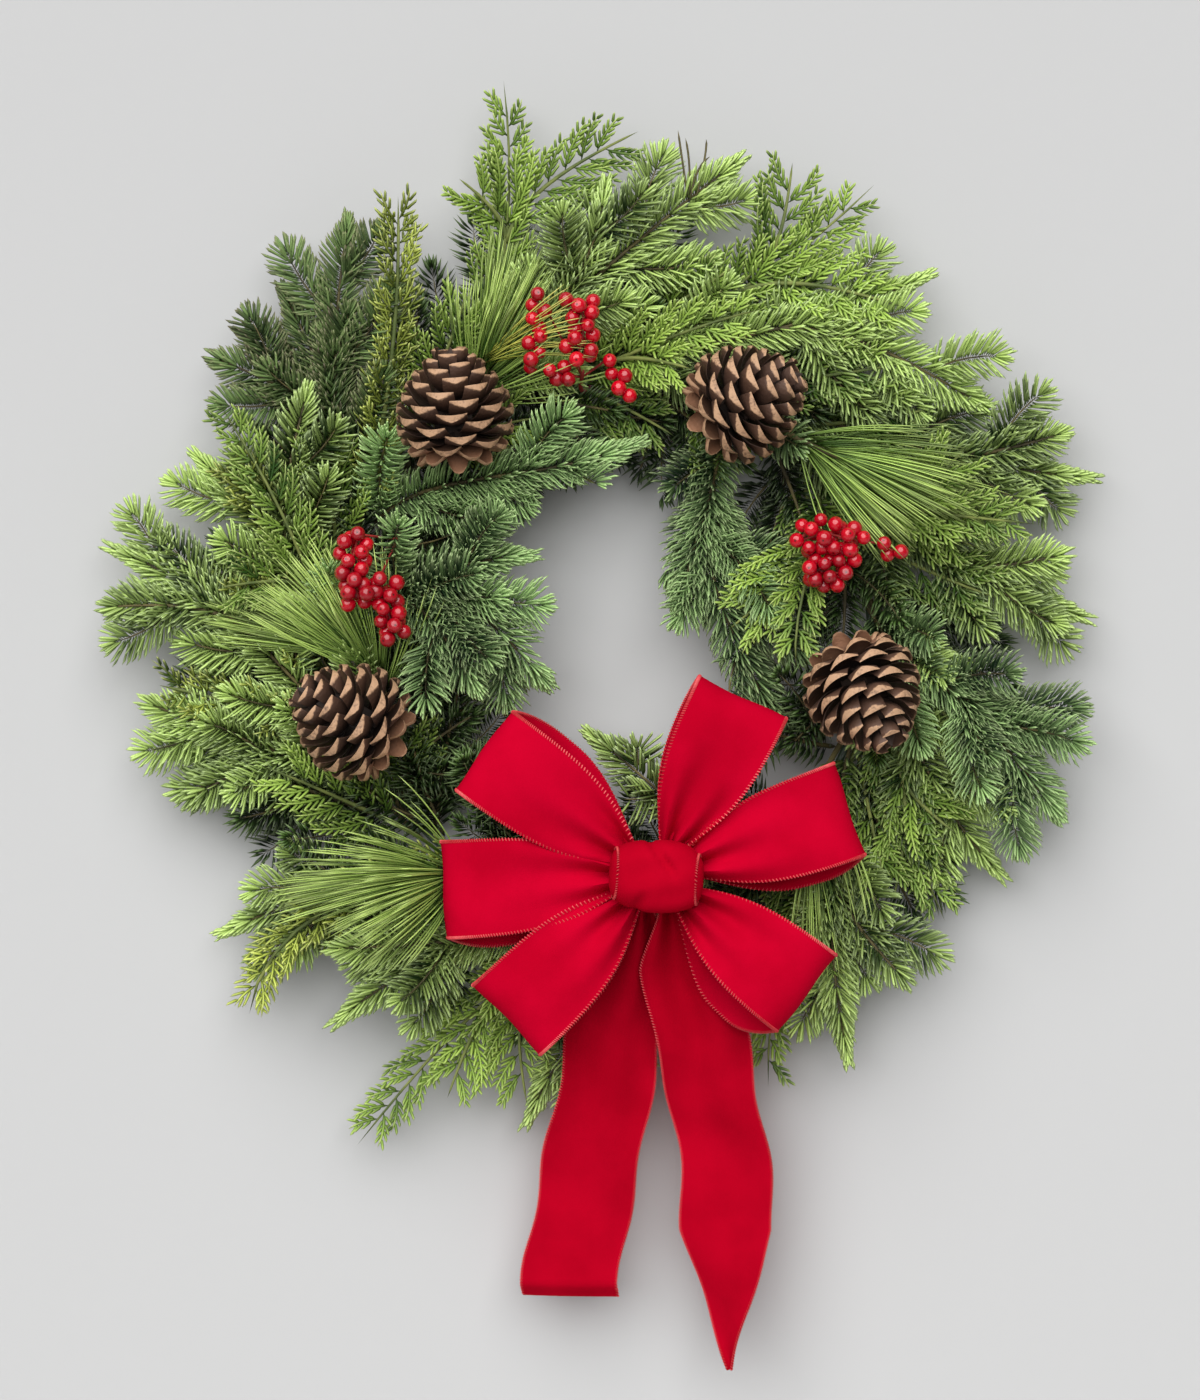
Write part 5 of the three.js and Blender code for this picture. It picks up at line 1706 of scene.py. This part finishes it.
@dataclass
class BowLoop(Ribbon):
    """One loop of the bow: its angle, its reach, and how its pleats stand."""

    angle: float
    reach: float
    phase: float
    shift: float
    lift: float = 10.0
    root: float = 17.0
    swell: float = 17.0
    part: ClassVar[str] = "loop"
    held: ClassVar[str] = "gathered"
    pile: ClassVar[str] = "velvet_pile"

    def middle(self) -> np.ndarray:
        """The loop's middle surface.

        Formula: at the share u along it, the distance from the knot is root + (reach - root)
        sin(pi u), the width grows with the distance as 1 - exp(-(d / 46)^1.7), and what the
        width lacks stands in pleats that are cosines across it. The front half stands swell
        forwards of the back half, as a sine of 2 pi u, the fold stands lift forwards, and the back
        half lies shift to one side.

        Returns:
            The surface's points, row by row along the ribbon.
        """
        u = np.linspace(0.0, 1.0, 73)[:, None]
        v = np.linspace(-0.5, 0.5, 21)[None, :]
        stretch = np.sin(np.pi * u)
        distance = self.root + (self.reach - self.root) * stretch
        width = RIBBON_WIDTH * (1.0 - np.exp(-((distance / 46.0) ** 1.7)))
        spare = np.clip(1.0 - width / RIBBON_WIDTH, 0.0, 1.0)
        pleats = 8.5 * spare**0.8 * np.cos(2 * np.pi * 2.2 * v + self.phase)
        crown = 3.0 * stretch**2 * np.cos(np.pi * v) - 2.0 * stretch
        valley = 3.4 * stretch * np.sin(2 * np.pi * (1.1 * v + 0.9 * u) + 2.0 * self.phase)
        forward = self.swell * np.sin(2 * np.pi * u) + 1.7 * (1 - 2 * u) + self.lift * stretch
        forward = forward + (pleats + crown + valley * np.cos(np.pi * u)) * np.cos(np.pi * u)
        bow = 0.8 * np.cos(2.0 * np.pi * v + self.phase) * stretch**3
        slide = self.shift * smooth_step(0.5, 0.74, u) * (1.0 - smooth_step(0.8, 1.0, u))
        out = outward_at(self.angle)
        aside = np.array([-out[2], 0.0, out[0]])
        flat = BOW_CENTRE + out * (distance + bow)[..., None] + aside * (v * width + slide)[..., None]
        return flat + FRONT * forward[..., None]


@dataclass
class BowTail(Ribbon):
    """One tail of the bow: the path of its middle, its twist, its end and its folds' phase."""

    points: tuple[Place, ...]
    twist: tuple[float, float]
    pointed: bool
    phase: float
    root: float = 11.0
    part: ClassVar[str] = "tail"
    held: ClassVar[str] = "hung"
    # The tails take the darker velvet, as painted shade.
    pile: ClassVar[str] = "velvet_tail"

    def middle(self) -> np.ndarray:
        """The tail's middle surface.

        Formula: across the path lies a level line, turned by the twist, as wide as the ribbon
        below the first 55 mm. Two folds run down from the knot as cosines that die away, and a
        slow wave runs down both edges. A tail that isn't pointed curls at its end.

        Returns:
            The surface's points, row by row along the ribbon.
        """
        path = smooth_path(self.points, 90)
        share = np.linspace(0.0, 1.0, 90)[:, None]
        v = np.linspace(-0.5, 0.5, 21)[None, :]
        length = path_length(path)
        place = share * length
        width = self.root + (RIBBON_WIDTH - self.root) * smooth_step(-8.0, 62.0, place)
        turn = np.radians(self.twist[0] * np.sin(5 * share) + self.twist[1] * share**2)
        folds = 6.5 * np.exp(-((place / 110.0) ** 2)) * np.cos(2 * np.pi * 1.6 * v + self.phase)
        grown = smooth_step(20.0, 90.0, place)
        waves = 3.6 * grown * np.sin(2 * np.pi * place / 128.0 + self.phase + 2.5 * v)
        sway = 1.8 * grown * np.sin(2 * np.pi * place / 84.0 + 2.0 * self.phase)
        if self.pointed:
            width = np.minimum(width, 2.0 + 0.9 * (length - place) ** 0.92)
            width = np.minimum(width, 60.0)
        else:
            curl = smooth_step(length - 13.0, length, place)
            waves = waves - 11.0 * curl**2 + 3.0 * curl
        aside = np.stack([-np.cos(turn), -np.sin(turn), 0 * turn], axis=-1)
        along = unit(np.gradient(path, axis=0))[:, None]
        normal = np.cross(along, aside)
        normal = normal * np.where(normal[..., 1:2] > 0, -1.0, 1.0)
        flat = path[:, None] + aside * (v * width + sway)[..., None]
        return flat + normal * (folds + waves)[..., None]


@dataclass
class BowKnot:
    """The knot: a puffed band of ribbon over the tight core that the loops spring from."""

    at: Place = (33.0, -100.0, -157.0)
    half_width: float = 30.5
    half_depth: float = 18.0
    half_height: float = 23.5

    def place(self, turn: np.ndarray, across: np.ndarray) -> np.ndarray:
        """Points of the band.

        Formula: a rounded box of half sizes a, b and c, with powers of 0.8 on its sines, pinched
        along a slanting crease and drawn in a little at its two rims.

        Args:
            turn: Angle round the knot, from the front over the top.
            across: Angle from its left end to its right end.

        Returns:
            The points.
        """

        def flat(values: np.ndarray) -> np.ndarray:
            """A value raised to the power 0.8 with its sign kept."""
            return np.sign(values) * np.abs(values) ** 0.8

        x = -flat(np.cos(across))
        ring = np.abs(np.sin(across)) ** 0.62
        z = flat(np.sin(turn)) * ring
        y = -flat(np.cos(turn)) * ring
        crease = np.exp(-(((x - 0.42 + 0.6 * z) / 0.1) ** 2)) * smooth_step(-0.2, 0.5, z)
        pinch = np.exp(-(((x + 0.1 - 0.3 * z) / 0.12) ** 2)) * smooth_step(0.3, 0.9, -z)
        dent = 0.3 * crease + 0.22 * pinch + 0.06 * np.cos(4.0 * x + 2.2 * z)
        dent = dent + 0.04 * np.sin(7.0 * z - 3.0 * x)
        scale = np.array([self.half_width, self.half_depth, self.half_height])
        points = np.stack([x, y * (1.0 - dent), z * (1.0 - 0.3 * dent)], axis=-1)
        slant = np.stack([0.05 * z, 0 * z, -0.1 * x], axis=-1)
        return np.array(self.at) + (points + slant) * scale

    def build(self) -> None:
        """Builds the band, its two stitched rims and the core, a short sliver along y."""
        skin = Skin(rng_of("bow_knot_band"))
        rows, columns = 48, 64
        across = np.linspace(0.0, np.pi, rows + 2)[1:-1]
        turn = np.linspace(0.0, 2 * np.pi, columns + 1)[:-1]
        rings = self.place(turn[None, :], across[:, None] + 0 * turn[None, :])
        ends = self.place(np.array([0.0, 0.0]), np.array([1e-4, np.pi - 1e-4]))
        marks = np.full((1, rows + 2, 3), 0.5)
        skin.add_closed(rings[None], (ends[:1], ends[1:]), marks, flip=True)
        self.add_rim(skin, 0.52, 1.0)
        self.add_rim(skin, np.pi - 0.5, -1.0)
        path = np.tile(BOW_CENTRE, (7, 1))
        path[:, 1] = (-92.0, -91.0, -90.0, -80.0, -70.0, -68.0, -67.0)
        widths = 2.0 * np.array([0.0, 12.0, 16.4, 16.4, 16.4, 15.0, 0.0])
        skin.add_slivers(path[None], widths, UP, Section.TWIG, 0.5)
        # The knot takes the darker velvet, as painted shade.
        skin.build("bow_knot_band", ["velvet_tail", "edge_thread"], "velvet", "bow_knot")

    def add_rim(self, skin: Skin, across: float, sign: float) -> None:
        """Adds stitches along one rim of the band, on its front half.

        Args:
            skin: The knot's piece.
            across: Where the rim lies between the knot's ends.
            sign: Which way the stitches point.
        """
        turn = np.linspace(-1.9, 1.9, 44)
        bend = 0.12 * np.cos(turn)
        start = self.place(turn, across + sign * bend)
        end = self.place(turn + 0.05, across + sign * (bend + 0.11))
        out = unit(start - np.array(self.at))
        part = np.linspace(0.0, 1.0, 4)[None, :, None]
        paths = start[:, None] * (1 - part) + end[:, None] * part
        paths = paths + out[:, None] * (0.1 + 0.7 * np.sin(np.pi * part))
        tones = np.random.default_rng(7).uniform(0.0, 1.0, len(turn))
        skin.add_slivers(paths, 1.0, out, Section.THREAD, tones, 1)


BOW = (
    BowKnot(),
    BowLoop("upper_left", 144.0, 138.0, 0.4, -7.0),
    BowLoop("upper_right", 64.0, 128.0, 2.2, 2.0),
    BowLoop("right", 19.0, 132.0, 4.1, -9.0),
    BowLoop("lower_right", -38.0, 124.0, 1.2, -16.0),
    BowLoop("left", 184.0, 138.0, 5.0, 9.0, 0.0),
    BowLoop("lower_left", 224.0, 134.0, 3.1, 2.0),
    BowTail(
        "left",
        ((23, -72, -173.6), (19, -57, -198), (8, -53, -249), (-4, -50, -321), (-19, -46, -399),
         (-23, -45, -436)),
        (10.0, 0.0),
        False,
        0.6,
    ),
    BowTail(
        "right",
        ((42, -75, -173.6), (48, -65, -194), (60, -60, -253), (70, -54, -297), (80, -50, -367),
         (80, -48, -430), (82, -48, -484)),
        (-6.0, -30.0),
        True,
        2.0,
    ),
)
CONES = (
    Cone("cone_upper_left", (-98, -82, 148), (-0.06, -0.25, 1)),
    Cone("cone_upper_right", (94, -84, 152), (0.9, -0.25, 0.42)),
    Cone("cone_lower_left", (-168, -80, -54), (-0.85, -0.3, 0.5)),
    Cone("cone_lower_right", (170, -84, -42), (0.42, -0.45, -0.85)),
)
BERRIES = (
    BerrySpray(
        "berries_top",
        93,
        ((-12, -14, 162), (-16, -44, 162), (-14, -76, 172)),
        (
            Strand(((-18, -86, 178), (-14, -90, 196), (-16, -90, 218)), 16, 11.0),
            Strand(((-44, -80, 222), (-44, -82, 198), (-47, -80, 170)), 10, 6.0),
            Strand(((-36, -84, 170), (-22, -86, 168)), 4, 4.0),
            Strand(((2, -84, 178), (16, -86, 152)), 5, 3.5),
        ),
    ),
    BerrySpray(
        "berries_left",
        152,
        ((-140, -8, 66), (-134, -40, 62), (-138, -76, 62)),
        (
            Strand(((-160, -88, 64), (-164, -92, 40), (-158, -92, 18)), 21, 11.0),
            Strand(((-146, -90, 36), (-136, -90, -4)), 17, 10.0),
        ),
    ),
    BerrySpray(
        "berries_right",
        30,
        ((140, -10, 78), (134, -44, 68), (128, -76, 62)),
        (
            Strand(((126, -86, 60), (146, -92, 64), (166, -88, 56)), 20, 13.0),
            Strand(((132, -88, 42), (156, -90, 38)), 14, 11.0),
            Strand(((180, -86, 58), (190, -86, 49)), 3, 3.0),
        ),
    ),
)
STRAYS = (
    Strays("pine_golden_needles", "pine_golden", (-80, -62, 178), (-22, -104, 226),
           (-6, -103, 176), 18, 1.0, 7.0),
    Strays("fir_bare_twig", "twig_bark", (58, -44, 284), (50, -46, 334), (70, -44, 318), 4, 1.6, 9.0),
)


class Studio:
    """The camera, the plain wall and floor, and the soft light."""

    def plane(self, name: str, corners: list[Place]) -> None:
        """Adds one flat sheet of the stage.

        Args:
            name: Its name, which its paint's name starts with.
            corners: Its four corners in metres, against the clock as the front sees them.
        """
        mesh = bpy.data.meshes.new(name)
        mesh.from_pydata(corners, [], [(0, 1, 2, 3)])
        mesh.materials.append(bpy.data.materials[f"{name}_paint"])
        plane = bpy.data.objects.new(name, mesh)
        bpy.context.scene.collection.objects.link(plane)

    def sun(self, name: str, away: Place, strength: float, angle: float) -> None:
        """Adds one broad light from far off, as a large soft box gives.

        Args:
            name: Its name.
            away: The direction from the wreath to it.
            strength: Its strength, in watts a square metre.
            angle: How broad it looks, in radians.
        """
        light = bpy.data.lights.new(name, "SUN")
        light.energy = strength
        light.angle = angle
        lamp = bpy.data.objects.new(name, light)
        back = unit(np.array(away))
        side = unit(np.cross(UP, back))
        matrix = np.eye(4)
        matrix[:3, :3] = np.stack([side, np.cross(back, side), back], axis=1)
        lamp.matrix_world = Matrix(matrix.tolist())
        bpy.context.scene.collection.objects.link(lamp)

    def build(self) -> None:
        """Builds the stage, the light and the camera."""
        side, wall, near, low, high = 3.0, 0.0032, -4.5, -1.5, 2.2
        self.plane("wall", [(-side, wall, low), (side, wall, low), (side, wall, high), (-side, wall, high)])
        self.plane("floor", [(-side, near, low), (side, near, low), (side, wall, low), (-side, wall, low)])
        self.sun("key", (-0.17, -1.0, 0.6), 4.85, 1.3)
        self.sun("back", (0.4, 1.0, 0.5), 1.2, 1.2)
        world = bpy.data.worlds.new("studio")
        world.use_nodes = True
        background = world.node_tree.nodes["Background"]
        background.inputs[0].default_value = (1.0, 1.0, 1.0, 1.0)
        background.inputs[1].default_value = 0.1
        camera = bpy.data.cameras.new("camera")
        camera.lens = 115.5
        camera.sensor_width = 36.0
        camera.clip_end = 30.0
        eye = bpy.data.objects.new("camera", camera)
        eye.location = (-0.0033, -3.0, -0.219)
        eye.rotation_euler = (np.pi / 2, 0.0, 0.0)
        scene = bpy.context.scene
        scene.world = world
        scene.collection.objects.link(eye)
        scene.camera = eye
        scene.view_settings.view_transform = "Standard"


def dress_wires() -> None:
    """Gives the ring and the floral wires, which stay as solids, their enamel."""
    for name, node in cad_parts.items():
        if name == "wreath_ring" or name.endswith("_wire"):
            enamel = "ring_enamel" if name == "wreath_ring" else "wire_enamel"
            node.data.materials.clear()
            node.data.materials.append(bpy.data.materials[enamel])


def main() -> None:
    logging.basicConfig(level=logging.INFO, format="%(message)s")
    build_leaf_tint()
    build_fine_grain()
    for finish in FINISHES:
        finish.build()
    Studio().build()
    dress_wires()
    rods = [cone.rod() for cone in CONES] + [rod for spray in BERRIES for rod in spray.rods()]
    for part in (*BOW, *CONES, *BERRIES, Foliage(KeepOut(rods)), *STRAYS):
        part.build()
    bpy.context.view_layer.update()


if __name__ == "__main__":
    main()
